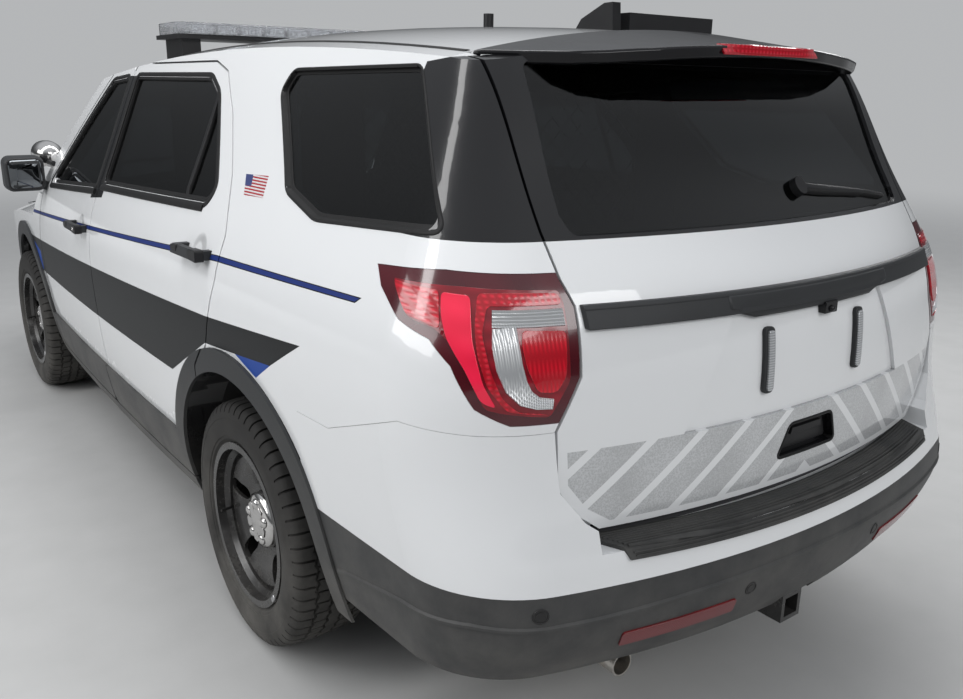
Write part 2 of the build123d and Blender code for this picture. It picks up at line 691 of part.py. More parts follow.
# Front fenders
with BuildPart() as fender:
    add(fender_zone)
    add(outer, mode=Mode.INTERSECT)
    add(under_skin & top_form(HOOD_T), mode=Mode.SUBTRACT)
    add(hood_opening, mode=Mode.SUBTRACT)
    add(front_well, mode=Mode.SUBTRACT)
    add(headlamp_opening, mode=Mode.SUBTRACT)
    add(plan_prism(WINDSCREEN, FIXED_GAP, low=1000), mode=Mode.SUBTRACT)
    add(block(0, 1300, FIREWALL_Y - 1, 0, 1075, 1500), mode=Mode.SUBTRACT)
    add(plan_prism(COWL_TRAY, FIXED_GAP, low=900), mode=Mode.SUBTRACT)
write(both(fender.part), "front_fenders")

# Headlamps
with BuildPart() as headlamp:
    add(headlamp_zone)
    add(outer, mode=Mode.INTERSECT)
    add(body_loft(90) & top_form(60), mode=Mode.SUBTRACT)
    add(hood_opening, mode=Mode.SUBTRACT)
write(both(headlamp.part), "headlamps")

# Grille and front bumper
grille_opening = front_prism(GRILLE, FIXED_GAP)
lower_opening = front_prism(LOWER_GRILLE, FIXED_GAP)
with BuildPart() as grille:
    add(front_prism(GRILLE))
    add(body_loft(10), mode=Mode.INTERSECT)
    add(body_loft(32), mode=Mode.SUBTRACT)
    add(front_slots(GRILLE_SLOTS), mode=Mode.SUBTRACT)
with BuildPart() as lower_grille:
    add(front_prism(LOWER_GRILLE))
    add(body_loft(12), mode=Mode.INTERSECT)
    add(body_loft(28), mode=Mode.SUBTRACT)
    add(front_slots(LOWER_SLOTS), mode=Mode.SUBTRACT)
write(grille.part + lower_grille.part, "grille")
with BuildPart() as front_bumper:
    add(block(-1300, 1300, -2700, COVER_FRONT_Y, BODY_BOTTOM - 20, 1200))
    add(outer, mode=Mode.INTERSECT)
    add(under_skin & top_form(HOOD_T), mode=Mode.SUBTRACT)
    for cut in (hood_opening, grille_opening, lower_opening):
        add(cut, mode=Mode.SUBTRACT)
    for cut in (headlamp_opening, front_well, fender_zone):
        add(cut, mode=Mode.SUBTRACT)
        add(mirrored(cut), mode=Mode.SUBTRACT)
write(front_bumper.part, "front_bumper")

# Rear bumper: painted cover with its ledge, dark valance below, ribbed step pad on top
bumper_zone = side_prism(side_shape(cover_seam, grow=-FIXED_GAP, start=-1300.0), 2600.0)
with BuildPart() as cover:
    add(bumper_form)
    add(bumper_zone, mode=Mode.INTERSECT)
    add(body_loft(SKIN_T - FIXED_GAP), mode=Mode.SUBTRACT)
    add(gate_opening, mode=Mode.SUBTRACT)
    add(block(-LEDGE_HALF, LEDGE_HALF, 1900, 2700, LEDGE_Z, 1200), mode=Mode.SUBTRACT)
    for cut in (rear_well, lamp_opening):
        add(cut, mode=Mode.SUBTRACT)
        add(mirrored(cut), mode=Mode.SUBTRACT)
with BuildPart() as rear_bumper:
    add(cover.part)
    add(block(-1300, 1300, 1500, 2700, VALANCE_TOP + SEAT_GAP, 1300), mode=Mode.INTERSECT)
write(rear_bumper.part, "rear_bumper")
with BuildPart() as valance:
    add(cover.part)
    add(block(-1300, 1300, 1500, 2700, VALANCE_BOTTOM, VALANCE_TOP), mode=Mode.INTERSECT)
    add(block(-70, 70, 2000, 2700, 0, 394), mode=Mode.SUBTRACT)
write(valance.part, "rear_valance")
with BuildPart() as step_pad:
    add(block(-PAD_HALF, PAD_HALF, 1900, 2700, LEDGE_Z + SEAT_GAP, LEDGE_Z + PAD_T))
    add(body_loft(12, pushed=True), mode=Mode.INTERSECT)
    add(body_loft(-8), mode=Mode.SUBTRACT)
write(step_pad.part, "step_pad")

# Liftgate
with BuildPart() as gate_rim:
    add(gate_edge)
    add(gate_step, mode=Mode.SUBTRACT)
    add(under_skin, mode=Mode.INTERSECT)
pocket_floor = body_loft(PLATE_POCKET_DEPTH)
with BuildPart() as plate_pocket:
    add(rear_prism(rear_shape(PLATE_POCKET)))
    add(behind_split, mode=Mode.INTERSECT)
    add(pocket_floor, mode=Mode.SUBTRACT)
with BuildPart() as hatch_pocket:
    add(rear_prism(rear_shape(HATCH_POCKET)))
    add(behind_split, mode=Mode.INTERSECT)
    add(body_loft(HATCH_POCKET_DEPTH), mode=Mode.SUBTRACT)
with BuildPart() as liftgate:
    add(gate_edge)
    add(behind_split, mode=Mode.INTERSECT)
    add(outer, mode=Mode.INTERSECT)
    for cut in (cabin, gate_rim.part, gate_hole, plate_pocket.part, hatch_pocket.part):
        add(cut, mode=Mode.SUBTRACT)
write(liftgate.part, "liftgate")
with BuildPart() as liftgate_glass:
    add(gate_pane)
    add(glass_outside, mode=Mode.INTERSECT)
    add(glass_inside, mode=Mode.SUBTRACT)
write(liftgate_glass.part, "liftgate_glass")
with BuildPart() as gate_trim:
    add(rear_prism(rear_shape(GATE_BAR)))
    add(body_loft(-BAR_T), mode=Mode.INTERSECT)
    add(seat_form, mode=Mode.SUBTRACT)
    add(behind_split, mode=Mode.INTERSECT)
with BuildPart() as warning_lamps:
    add(rear_prism(rear_shape_one(WARNING_LAMP)))
    add(seat_form, mode=Mode.INTERSECT)
    add(body_loft(PLATE_POCKET_DEPTH - SEAT_GAP), mode=Mode.SUBTRACT)
    add(behind_split, mode=Mode.INTERSECT)
write(Compound(children=[gate_trim.part, both(warning_lamps.part)]), "liftgate_trim")
with BuildPart() as spoiler:
    add(plan_arc_prism())
    add(top_form(-SPOILER_RISE), mode=Mode.INTERSECT)
    add(top_form(SPOILER_T - SPOILER_RISE), mode=Mode.SUBTRACT)
    add(seat_form & top_form(-SEAT_GAP), mode=Mode.SUBTRACT)
write(spoiler.part, "spoiler")

# Tail lamps
with BuildPart() as tail_lamp:
    add(lamp_zone)
    add(outer, mode=Mode.INTERSECT)
    add(lamp_back, mode=Mode.SUBTRACT)
    add(gate_opening, mode=Mode.SUBTRACT)
write(both(tail_lamp.part), "tail_lamps")

# Cladding round the wheel openings and along the sills and doors
skin_cladding = cladding_form - seat_form
with BuildPart() as rings:
    for axle in (FRONT_AXLE_Y, REAR_AXLE_Y):
        add(drum(axle, CLADDING_R, 0, 1300) - drum(axle, ARCH_R, -10, 1400))
strip = block(0, 1300, -1200, 1200, BODY_BOTTOM, CLADDING_TOP)
with BuildPart() as body_cladding:
    add(rings.part)
    add(block(0, 1300, -1041, 860, BODY_BOTTOM, FRONT_DOOR[0][1] - PANEL_GAP))
    add(skin_cladding, mode=Mode.INTERSECT)
    add(block(0, 1300, -2300, 2300, BODY_BOTTOM, 1200), mode=Mode.INTERSECT)
    add(front_skin_cut, mode=Mode.SUBTRACT)
    add(rear_skin_cut, mode=Mode.SUBTRACT)
    add(body_loft(-FIXED_GAP, pushed=True), mode=Mode.SUBTRACT)
write(both(body_cladding.part), "body_cladding")


def door_trim(points, arch, handle_y, handle_z):
    """Cladding and handle of one left door."""
    edge = side_prism(side_shape(points, DOOR_CORNER_R, -FIXED_GAP, arch))
    with BuildPart() as trim:
        add(strip)
        if arch:
            add(rings.part)
        add(edge, mode=Mode.INTERSECT)
        add(skin_cladding, mode=Mode.INTERSECT)
    with BuildPart() as handle:
        add(block(800, 1300, handle_y - HANDLE_L / 2, handle_y + HANDLE_L / 2, handle_z - HANDLE_W / 2,
                  handle_z + HANDLE_W / 2))
        add(handle_outside, mode=Mode.INTERSECT)
        add(seat_form, mode=Mode.SUBTRACT)
        add(block(800, 1300, handle_y - HANDLE_L / 2 + 26, handle_y + HANDLE_L / 2 - 26, 0, 2000) & handle_inside,
            mode=Mode.SUBTRACT)
    return trim.part + handle.part


handle_outside = body_loft(-HANDLE_OUT)
handle_inside = body_loft(HANDLE_T - HANDLE_OUT)
front_trim = door_trim(FRONT_DOOR, False, *FRONT_HANDLE)
rear_trim = door_trim(REAR_DOOR, True, *REAR_HANDLE)
with BuildPart() as mirror_head:
    with Locations(MIRROR_AT):
        Box(*MIRROR_SIZE)
    fillet(mirror_head.edges(), radius=MIRROR_R)
    with BuildSketch(Plane.XZ.offset(905)):
        with BuildLine():
            Polyline(*MIRROR_ARM, close=True)
        make_face()
    extrude(amount=44)
    add(seat_form, mode=Mode.SUBTRACT)
write_pair(front_trim + mirror_head.part, "front_door_trim_{}")
write_pair(rear_trim, "rear_door_trim_{}")

# Cabin: dashboard, seats, partitions and steering wheel
wall_limit = body_loft(CABIN_GAP, thick=True)
column = Plane(origin=WHEEL_HUB, x_dir=(1, 0, 0), z_dir=(0, cos(radians(COLUMN_TILT)), sin(radians(COLUMN_TILT))))
with BuildPart() as dashboard:
    add(profile_block(DASH, -1000, 1000, 20))
    add(wall_limit, mode=Mode.INTERSECT)
    add(top_form(ROOF_T + CABIN_GAP), mode=Mode.INTERSECT)
    with BuildSketch(column.offset(-HUB_GAP)):
        Circle(34)
    extrude(amount=-220)
    with BuildSketch(column.offset(-HUB_GAP)):
        Circle(SHAFT_R + BORE_CLEARANCE)
    extrude(amount=-60, mode=Mode.SUBTRACT)
    add(profile_block(CONSOLE, -CONSOLE_HALF, CONSOLE_HALF, 12))
write(dashboard.part, "dashboard")
with BuildPart() as steering_wheel:
    with BuildSketch(Plane(column.origin, x_dir=column.z_dir, z_dir=column.x_dir)):
        with Locations((18, RING_R)):
            Ellipse(15, 17)
    revolve(axis=Axis(column.origin, column.z_dir))
    with BuildSketch(column):
        Circle(66)
        Rectangle(2 * RING_R, 34)
        with Locations((0, -RING_R / 2)):
            Rectangle(40, RING_R)
    extrude(amount=22)
    with BuildSketch(column):
        Circle(SHAFT_R)
    extrude(amount=-50)
write(steering_wheel.part, "steering_wheel")
with BuildPart() as seat:
    add(profile_block(SEAT, SEAT_X - SEAT_HALF, SEAT_X + SEAT_HALF, 24))
    add(profile_block(HEADREST, SEAT_X - 120, SEAT_X + 120, 14))
write(both(seat.part), "front_seats")
with BuildPart() as bench:
    add(profile_block(BENCH, -BENCH_HALF, BENCH_HALF, 20))
write(bench.part, "rear_bench")
with BuildPart() as partition:
    add(block(-760, 760, PARTITION_Y, PARTITION_Y + 18, FLOOR_TOP + SEAT_GAP, 1700))
    add(wall_limit, mode=Mode.INTERSECT)
    add(top_form(ROOF_T + CABIN_GAP), mode=Mode.INTERSECT)
    add(block(-560, 560, PARTITION_Y - 50, PARTITION_Y + 100, 1080, 1560), mode=Mode.SUBTRACT)
with BuildPart() as cargo_partition:
    add(block(-760, 760, CARGO_PARTITION_Y, CARGO_PARTITION_Y + 14, CARGO_FLOOR_TOP + SEAT_GAP, 1700))
    add(wall_limit, mode=Mode.INTERSECT)
    add(top_form(ROOF_T + CABIN_GAP), mode=Mode.INTERSECT)
    add(block(-540, 540, CARGO_PARTITION_Y - 50, CARGO_PARTITION_Y + 100, 1130, 1560), mode=Mode.SUBTRACT)
    for cut in (rear_house, mirrored(rear_house)):
        add(cut, mode=Mode.SUBTRACT)
write(partition.part + cargo_partition.part, "partitions")

# Mechanical pieces below and in front
write(block(-330, 330, -2150, ENGINE_BACK_Y - SEAT_GAP, ENGINE_BOTTOM, 900), "engine")
with BuildPart() as fuel_tank:
    add(block(-560, 240, 160, 820, 205, FLOOR_BOTTOM - SEAT_GAP))
    fillet(fuel_tank.edges().filter_by(Axis.Z), radius=60)
write(fuel_tank.part, "fuel_tank")
with BuildPart() as exhaust:
    with BuildSketch(Plane.XZ.offset(-ENGINE_BACK_Y)):
        with Locations((PIPE_X, PIPE_Z)):
            Circle(PIPE_R)
    extrude(amount=-(MUFFLER_Y - ENGINE_BACK_Y))
    with Locations((PIPE_X, MUFFLER_Y, PIPE_Z)):
        Box(*MUFFLER_SIZE)
    fillet(exhaust.edges().filter_by(Axis.Y).filter_by(GeomType.LINE), radius=30)
    with BuildSketch(Plane.XZ.offset(-MUFFLER_Y - 150)):
        with Locations((TIP_X, TIP_Z)):
            Circle(TIP_R)
            Circle(TIP_R - 4, mode=Mode.SUBTRACT)
    extrude(amount=-(TIP_END_Y - MUFFLER_Y - 150))
write(exhaust.part, "exhaust")

# Front and rear suspension
ball_joint = kingpin_drum(22, -26, 0)
with BuildPart() as front_suspension:
    add(block(-430, 430, -1720, -1480, 205, ENGINE_BOTTOM - SEAT_GAP))
    for side in (1, -1):
        add(block(*sorted((side * 420, side * KINGPIN_LOW[0])), FRONT_AXLE_Y - 24, FRONT_AXLE_Y + 24,
                  KINGPIN_LOW[1] - 26, KINGPIN_LOW[1] - 4))
        add(block(*sorted((side * 400, side * 430)), FRONT_AXLE_Y - 60, FRONT_AXLE_Y + 60, KINGPIN_LOW[1] - 26, 230))
        add(block(*sorted((side * 405, side * RAIL_X)), -1700, -1640, 240, RAIL_Z - SEAT_GAP))
        add(ball_joint if side > 0 else mirrored(ball_joint))
write(front_suspension.part, "front_suspension")
with BuildPart() as rear_suspension:
    add(block(-430, 430, 1180, 1420, 400, 470))
    for side in (1, -1):
        add(block(*sorted((side * 405, side * 745)), REAR_AXLE_Y - 40, REAR_AXLE_Y + 40, 250, 290))
        add(block(*sorted((side * 405, side * 430)), REAR_AXLE_Y - 60, REAR_AXLE_Y + 60, 250, 430))
        add(block(*sorted((side * 700, side * 745)), REAR_AXLE_Y - 60, REAR_AXLE_Y + 60, 240, 500))
        add(drum(REAR_AXLE_Y, SPINDLE_R, *sorted((side * 700, side * (WHEEL_X + HUB_OUT - 8)))))
        add(block(*sorted((side * 600, side * 650)), REAR_AXLE_Y + 60, REAR_AXLE_Y + 110, 260, 729.7))
        add(block(*sorted((side * 600, side * 650)), REAR_AXLE_Y - 40, REAR_AXLE_Y + 110, 250, 290))
write(rear_suspension.part, "rear_suspension")

# Steering knuckles with their strut tubes
with BuildPart() as knuckle:
    add(block(665, 740, FRONT_AXLE_Y - 50, FRONT_AXLE_Y + 50, 230, 500))
    add(drum(FRONT_AXLE_Y, SPINDLE_R, 700, WHEEL_X + HUB_OUT - 8))
    add(kingpin_drum(STRUT_R, 280, 640))
    add(kingpin_drum(20, SEAT_GAP, 90))
write_pair(knuckle.part, "knuckle_{}")


def tyre(y):
    """A hollow tyre, round in section and open at its beads."""
    with BuildPart() as piece:
        with BuildSketch(Plane.XY):
            with BuildLine():
                Line((104, BEAD_R), (104, BEAD_R + 16))
                ThreePointArc((104, BEAD_R + 16), (TYRE_W / 2, 296), (110, TYRE_R - 15))
                ThreePointArc((110, TYRE_R - 15), (0, TYRE_R), (-110, TYRE_R - 15))
                ThreePointArc((-110, TYRE_R - 15), (-TYRE_W / 2, 296), (-104, BEAD_R + 16))
                Line((-104, BEAD_R + 16), (-104, BEAD_R))
                Line((-104, BEAD_R), (-90, BEAD_R))
                ThreePointArc((-90, BEAD_R), (TYRE_SIDE - TYRE_W / 2, 292), (-97, TYRE_R - 28))
                ThreePointArc((-97, TYRE_R - 28), (0, TYRE_R - TYRE_SIDE), (97, TYRE_R - 28))
                ThreePointArc((97, TYRE_R - 28), (TYRE_W / 2 - TYRE_SIDE, 292), (90, BEAD_R))
                Line((90, BEAD_R), (104, BEAD_R))
            make_face()
        revolve(axis=Axis.X)
    return piece.part.moved(Location((WHEEL_X, y, TYRE_R)))


def rim(y):
    """A steel rim with its slotted disc, hub, centre cap and brake rotor."""
    with BuildPart() as piece:
        with BuildSketch(Plane.XY):
            with BuildLine():
                Polyline(*RIM_SECTION, close=True)
            make_face()
        revolve(axis=Axis.X)
        with BuildSketch(Plane.XY):
            with BuildLine():
                Polyline(*DISC_SECTION, close=True)
            make_face()
        revolve(axis=Axis.X)
        with BuildSketch(Plane.YZ.offset(20)):
            with PolarLocations(SLOT_RADIUS, SLOT_COUNT, start_angle=90):
                SlotOverall(SLOT_W, SLOT_L)
        extrude(amount=80, mode=Mode.SUBTRACT)
        with BuildSketch(Plane.XY):
            with BuildLine():
                Polyline(*ROTOR_SECTION, close=True)
            make_face()
        revolve(axis=Axis.X)
        with BuildSketch(Plane.YZ.offset(HUB_IN)):
            Circle(HUB_R)
        extrude(amount=HUB_OUT + 8 - HUB_IN)
        with BuildSketch(Plane.YZ.offset(HUB_IN)):
            Circle(SPINDLE_R + BORE_CLEARANCE)
        extrude(amount=HUB_OUT - HUB_IN, mode=Mode.SUBTRACT)
    return piece.part.moved(Location((WHEEL_X, y, TYRE_R)))


for place, y in (("front", FRONT_AXLE_Y), ("rear", REAR_AXLE_Y)):
    write_pair(tyre(y), place + "_tyre_{}")
    write_pair(rim(y), place + "_rim_{}")

# Roof equipment, spotlight and tow receiver
with BuildPart() as light_bar:
    add(block(-BAR_HALF, BAR_HALF, BAR_Y - BAR_DEPTH / 2 + 10, BAR_Y + BAR_DEPTH / 2 - 10, *BAR_BASE))
    for side in (1, -1):
        foot = sorted(side * x for x in BAR_FOOT_X)
        add(block(*foot, BAR_Y - BAR_DEPTH / 3, BAR_Y + BAR_DEPTH / 3, 1600, BAR_BASE[1] - 2))
    add(top_form(-SEAT_GAP), mode=Mode.SUBTRACT)
write(light_bar.part, "light_bar")
with BuildPart() as lens:
    add(block(-BAR_HALF, BAR_HALF, BAR_Y - BAR_DEPTH / 2, BAR_Y + BAR_DEPTH / 2, BAR_BASE[1] + SEAT_GAP, BAR_TOP))
    fillet(lens.edges().filter_by(Axis.Z), radius=60)
    fillet(lens.faces().sort_by(Axis.Z)[-1].edges(), radius=16)
write(lens.part, "light_bar_lens")
with BuildPart() as roof_fittings:
    add(profile_block(FIN, -FIN_HALF, FIN_HALF))
    add(block(*ROOF_BOX))
    with BuildSketch(Plane.XY.offset(1600)):
        with Locations(STUB_AERIAL):
            Circle(STUB_AERIAL_R)
    extrude(amount=STUB_AERIAL_TOP - 1600)
    add(top_form(-SEAT_GAP), mode=Mode.SUBTRACT)
with BuildPart() as spotlight:
    with BuildSketch(Plane.XZ.offset(1000)):
        with Locations(SPOTLIGHT):
            Circle(SPOTLIGHT_R)
    extrude(amount=110)
    with BuildSketch(Plane.XZ.offset(868)):
        with Locations((918, 1222)):
            Circle(11)
    extrude(amount=140)
    add(seat_form & top_form(-SEAT_GAP), mode=Mode.SUBTRACT)
write(Compound(children=[roof_fittings.part, spotlight.part]), "outside_fittings")
with BuildPart() as receiver:
    add(block(-450, 450, 2180, 2240, RECEIVER_Z - 30, RECEIVER_Z + 30))
    add(block(-38, 38, 2230, RECEIVER_Y, RECEIVER_Z - 38, RECEIVER_Z + 38))
    add(block(-60, 60, 2320, 2390, RECEIVER_Z + 30, REAR_PANEL_BOTTOM - SEAT_GAP))
    add(block(-26, 26, 2310, RECEIVER_Y + 10, RECEIVER_Z - 26, RECEIVER_Z + 26), mode=Mode.SUBTRACT)
    with BuildSketch(Plane.YZ.offset(-60)):
        with Locations((RECEIVER_Y - 60, RECEIVER_Z)):
            Circle(HITCH_PIN_R)
    extrude(amount=120, mode=Mode.SUBTRACT)
write(receiver.part, "tow_receiver")
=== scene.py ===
"""Finish and fine pieces of a white police patrol car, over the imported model."""
from functools import partial, reduce
from math import cos, hypot, radians, sin, tau

import bmesh
import bpy
from mathutils import Matrix, Vector
from mathutils.bvhtree import BVHTree
from mathutils.geometry import delaunay_2d_cdt


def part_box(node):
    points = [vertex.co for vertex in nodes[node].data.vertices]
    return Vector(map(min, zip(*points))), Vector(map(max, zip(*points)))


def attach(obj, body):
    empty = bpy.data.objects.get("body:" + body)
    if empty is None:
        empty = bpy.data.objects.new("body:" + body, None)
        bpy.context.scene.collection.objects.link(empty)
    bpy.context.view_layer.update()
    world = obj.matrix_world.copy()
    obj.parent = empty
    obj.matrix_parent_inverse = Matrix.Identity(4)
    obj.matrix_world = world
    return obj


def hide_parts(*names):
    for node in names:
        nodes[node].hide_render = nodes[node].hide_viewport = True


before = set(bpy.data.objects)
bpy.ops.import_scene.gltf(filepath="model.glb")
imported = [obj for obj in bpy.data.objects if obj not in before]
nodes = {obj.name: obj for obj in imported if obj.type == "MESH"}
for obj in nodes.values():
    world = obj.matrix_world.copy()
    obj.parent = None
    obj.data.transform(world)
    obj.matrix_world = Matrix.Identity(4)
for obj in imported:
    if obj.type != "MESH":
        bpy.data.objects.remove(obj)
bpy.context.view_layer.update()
scene = bpy.context.scene
# the sides with the sign of x there, and the y of the axles
SIDES = {"left": 1, "right": -1}
PLACES = {"front": -1.558, "rear": 1.308}
AXLE_X, AXLE_Z = 0.851, 0.363


# The photographer stood behind the car's left rear corner, at eye height.
# The camera looks down a little towards the rear wheel and the liftgate.
PHOTO_WIDTH = 963.0
FOCAL_PIXELS = 899.0
CAMERA_AT = Vector((1.816, 3.579, 1.574))
YAW, PITCH, ROLL = radians(-143.36), radians(-16.22), radians(0.81)

ahead = Vector((sin(YAW) * cos(PITCH), cos(YAW) * cos(PITCH), sin(PITCH)))
level = ahead.cross(Vector((0, 0, 1))).normalized()
right = level * cos(ROLL) + level.cross(ahead) * sin(ROLL)
above = right.cross(ahead)
camera = bpy.data.objects.new("photo_camera", bpy.data.cameras.new("photo_camera"))
scene.collection.objects.link(camera)
camera.data.sensor_width = 36.0
camera.data.lens = camera.data.sensor_width * FOCAL_PIXELS / PHOTO_WIDTH
camera.data.clip_end = 200.0
camera.matrix_world = Matrix.Translation(CAMERA_AT) @ Matrix((right, above, -ahead)).transposed().to_4x4()
scene.camera = camera


# The painted steel panels: white enamel under clear lacquer, with the blue line, the
# grey band and the rear chevrons of the car's livery as cut vinyl, and road dust low down.
WHITE = (0.72, 0.73, 0.74)
BAND_GREY = (0.013, 0.014, 0.015)
LINE_BLUE = (0.012, 0.028, 0.15)
CORNER_BLUE = (0.014, 0.055, 0.27)
CHEVRON_GREY = (0.36, 0.365, 0.37)
CHEVRON_LIGHT = (0.52, 0.53, 0.54)
TRIM_BLACK = (0.006, 0.006, 0.007)
LINING = (0.045, 0.046, 0.05)
DUST = (0.3, 0.285, 0.26)
# convex patches as y and z on the car's side, counterclockwise seen from the left
LINE = [[(-1.42, 0.956), (1.2, 1.11), (1.2, 1.127), (-1.42, 0.972)],
        [(1.2, 1.11), (1.919, 1.13), (1.938, 1.144), (1.2, 1.127)]]
LINE_CORE = [[(-1.42, 0.9585), (1.2, 1.1125), (1.2, 1.1245), (-1.42, 0.9695)],
             [(1.2, 1.1125), (1.916, 1.1325), (1.93, 1.1415), (1.2, 1.1245)]]
BAND = [[(-1.42, 0.69), (0.34, 0.708), (0.34, 0.917), (-1.42, 0.838)],
        [(0.34, 0.708), (0.84, 0.712), (0.84, 0.939), (0.34, 0.917)],
        [(0.84, 0.712), (1.158, 0.873), (1.172, 0.954), (0.84, 0.939)],
        [(1.158, 0.873), (1.367, 0.891), (1.575, 0.91), (1.729, 0.996), (1.172, 0.954)]]
CORNERS = [[(1.367, 0.891), (1.488, 0.856), (1.575, 0.91)],
           [(-1.42, 0.7), (-1.14, 0.7), (-1.14, 0.79), (-1.42, 0.835)]]
PILLARS = [[(-0.105, 1.15), (0.045, 1.165), (0.045, 1.6), (-0.105, 1.6)],
           [(1.83, 1.283), (2.0, 1.283), (2.0, 1.643), (1.86, 1.628)],
           [(2.0, 1.283), (2.6, 1.283), (2.6, 1.72), (2.0, 1.72)],
           [(-2.6, 0.2), (-2.03, 0.2), (-2.03, 0.445), (-2.6, 0.445)]]
# half of the liftgate's taped field and of its pull-out pocket, as x and z
TAPED = [(0.0, 0.705), (0.575, 0.708), (0.632, 0.745), (0.678, 0.805), (0.684, 0.878), (0.0, 0.878)]
POCKET = [(0.0, 0.759), (0.111, 0.759), (0.081, 0.839), (0.0, 0.839)]
CHEVRON_PITCH, CHEVRON_SHARE = 0.135, 0.79
CHEVRON_SLOPE, CHEVRON_PHASE = 1.15, 0.784
ARCH_RADIUS = 0.517
# the tail begins here, and the pillars' black keeps this far, x and y together, from the middle
TAIL_Y, MIDDLE = 2.25, 0.7
# a face counts as a side where its normal points up or down by less than this
UPRIGHT = 0.55
# the cabin's middle, the stretch that makes the cabin round, and how far a face has to turn to it
CABIN_MIDDLE, CABIN_STRETCH, INWARD = (0, 0.4, 1.0), (1, 0.45, 1.4), -0.42
HANDLES = {"front": (-0.17, 1.035), "rear": (1.07, 1.12)}


def filled(node, sockets):
    """Sets or links a shader node's inputs and returns its outputs. A colour's alpha is 1."""
    for name, value in dict(sockets).items():
        socket = node.inputs[name]
        if isinstance(value, bpy.types.NodeSocket):
            node.id_data.links.new(value, socket)
        else:
            socket.default_value = (*value[:3], 1) if socket.type == "RGBA" else value
    return node.outputs


def place(tree, kind, sockets=(), out=0, **settings):
    """Adds one shader node to a tree and returns one of its outputs."""
    node = tree.nodes.new("ShaderNode" + kind)
    for name, value in settings.items():
        setattr(node, name, value)
    return filled(node, sockets)[out]


def tree_of(*values):
    """The node tree that some outputs belong to."""
    return next(value.id_data for value in values if isinstance(value, bpy.types.NodeSocket))


def reckon(operation, a, b=0.0, c=0.0):
    """One step of arithmetic on numbers or outputs."""
    return place(tree_of(a, b, c), "Math", {0: a, 1: b, 2: c}, operation=operation)


times, minus, scaled = (partial(reckon, name) for name in ("MULTIPLY", "SUBTRACT", "MULTIPLY_ADD"))
larger, smaller = partial(reckon, "MAXIMUM"), partial(reckon, "MINIMUM")


def blended(mask, a, b):
    """Colour a where the mask is 0, colour b where it is 1."""
    return place(tree_of(mask, a, b), "Mix", {0: mask, 6: a, 7: b}, 2, data_type="RGBA")


def here(tree):
    """The place of a point on the resting car."""
    return place(tree, "TexCoord", out=3)


def noise(tree, scale, detail=2.0, roughness=0.5):
    """Clouds of one size, fixed to the car."""
    return place(tree, "TexNoise", {"Vector": here(tree), "Scale": scale, "Detail": detail,
        "Roughness": roughness})


def bumped(height, strength, distance, **more):
    """A normal that follows a height."""
    return place(height.id_data, "Bump", {"Strength": strength, "Distance": distance, "Height": height, **more})


def ranged(value, low, high, bottom=0.0, top=1.0, **settings):
    """Spreads low to high over bottom to top."""
    ends = {"Value": value, "From Min": low, "From Max": high, "To Min": bottom, "To Max": top}
    return place(value.id_data, "MapRange", ends, **settings)


def feed(sockets, **outputs):
    """Links outputs to the sockets of these names."""
    for label, output in outputs.items():
        output.id_data.links.new(output, sockets[label.replace("_", " ")])


def effect(name, inputs, outputs):
    """An empty node group with named inputs and outputs, and its two end nodes."""
    tree = bpy.data.node_groups.new(name, "ShaderNodeTree")
    for way, rows in (("INPUT", inputs), ("OUTPUT", outputs)):
        for label, kind in rows:
            tree.interface.new_socket(label, in_out=way, socket_type="NodeSocket" + kind)
    return tree, tree.nodes.new("NodeGroupInput").outputs, tree.nodes.new("NodeGroupOutput").inputs


def patch_mask(u, v, corners):
    """1 inside a convex patch whose corners run counterclockwise in u and v."""
    sides = []
    for (u0, v0), (u1, v1) in zip(corners, corners[1:] + corners[:1]):
        length = hypot(u1 - u0, v1 - v0)
        a, b = -(v1 - v0) / length, (u1 - u0) / length
        sides.append(scaled(u, a, scaled(v, b, -(a * u0 + b * v0))))
    return reckon("GREATER_THAN", reduce(smaller, sides), 0.0)


def patches_mask(u, v, patches):
    """1 inside any of several convex patches."""
    return reduce(larger, [patch_mask(u, v, corners) for corners in patches])


def squared(u, v, u0, v0):
    """The square of the distance to a point in u and v."""
    return reckon("ADD", reckon("POWER", minus(u, u0), 2.0), reckon("POWER", minus(v, v0), 2.0))


def axes(tree):
    """The x, y and z of a point on the resting car."""
    return filled(tree.nodes.new("ShaderNodeSeparateXYZ"), {0: here(tree)})


livery, _, livery_out = effect("livery", (),
    [(label, "Float") for label in ("Edge", "Core", "Band", "Corner", "Black", "Chevron")])
x, y, z = axes(livery)
tilt = place(livery, "SeparateXYZ", {0: place(livery, "TexCoord", out=1)}, 2)
upright = reckon("LESS_THAN", reckon("ABSOLUTE", tilt), UPRIGHT)
for label, patches in (("Edge", LINE), ("Core", LINE_CORE), ("Band", BAND), ("Corner", CORNERS)):
    feed(livery_out, **{label: times(patches_mask(y, z, patches), upright)})
aside = reckon("ABSOLUTE", x)
on_tail = reckon("GREATER_THAN", y, TAIL_Y)
hollow = times(patch_mask(aside, z, POCKET), on_tail)
arches = [reckon("LESS_THAN", squared(y, z, axle_y, AXLE_Z), ARCH_RADIUS ** 2) for axle_y in PLACES.values()]
off_middle = reckon("GREATER_THAN", reckon("ADD", aside, reckon("ABSOLUTE", y)), MIDDLE)
black = times(patches_mask(y, z, PILLARS), off_middle)
black = larger(black, reduce(larger, arches))
feed(livery_out, Black=larger(black, hollow))
leaning = scaled(z, CHEVRON_SLOPE / CHEVRON_PITCH, CHEVRON_PHASE)
leaning = reckon("FRACT", scaled(aside, 1 / CHEVRON_PITCH, leaning))
taped = times(patch_mask(aside, z, TAPED), on_tail)
feed(livery_out, Chevron=times(reckon("LESS_THAN", leaning, CHEVRON_SHARE), taped))

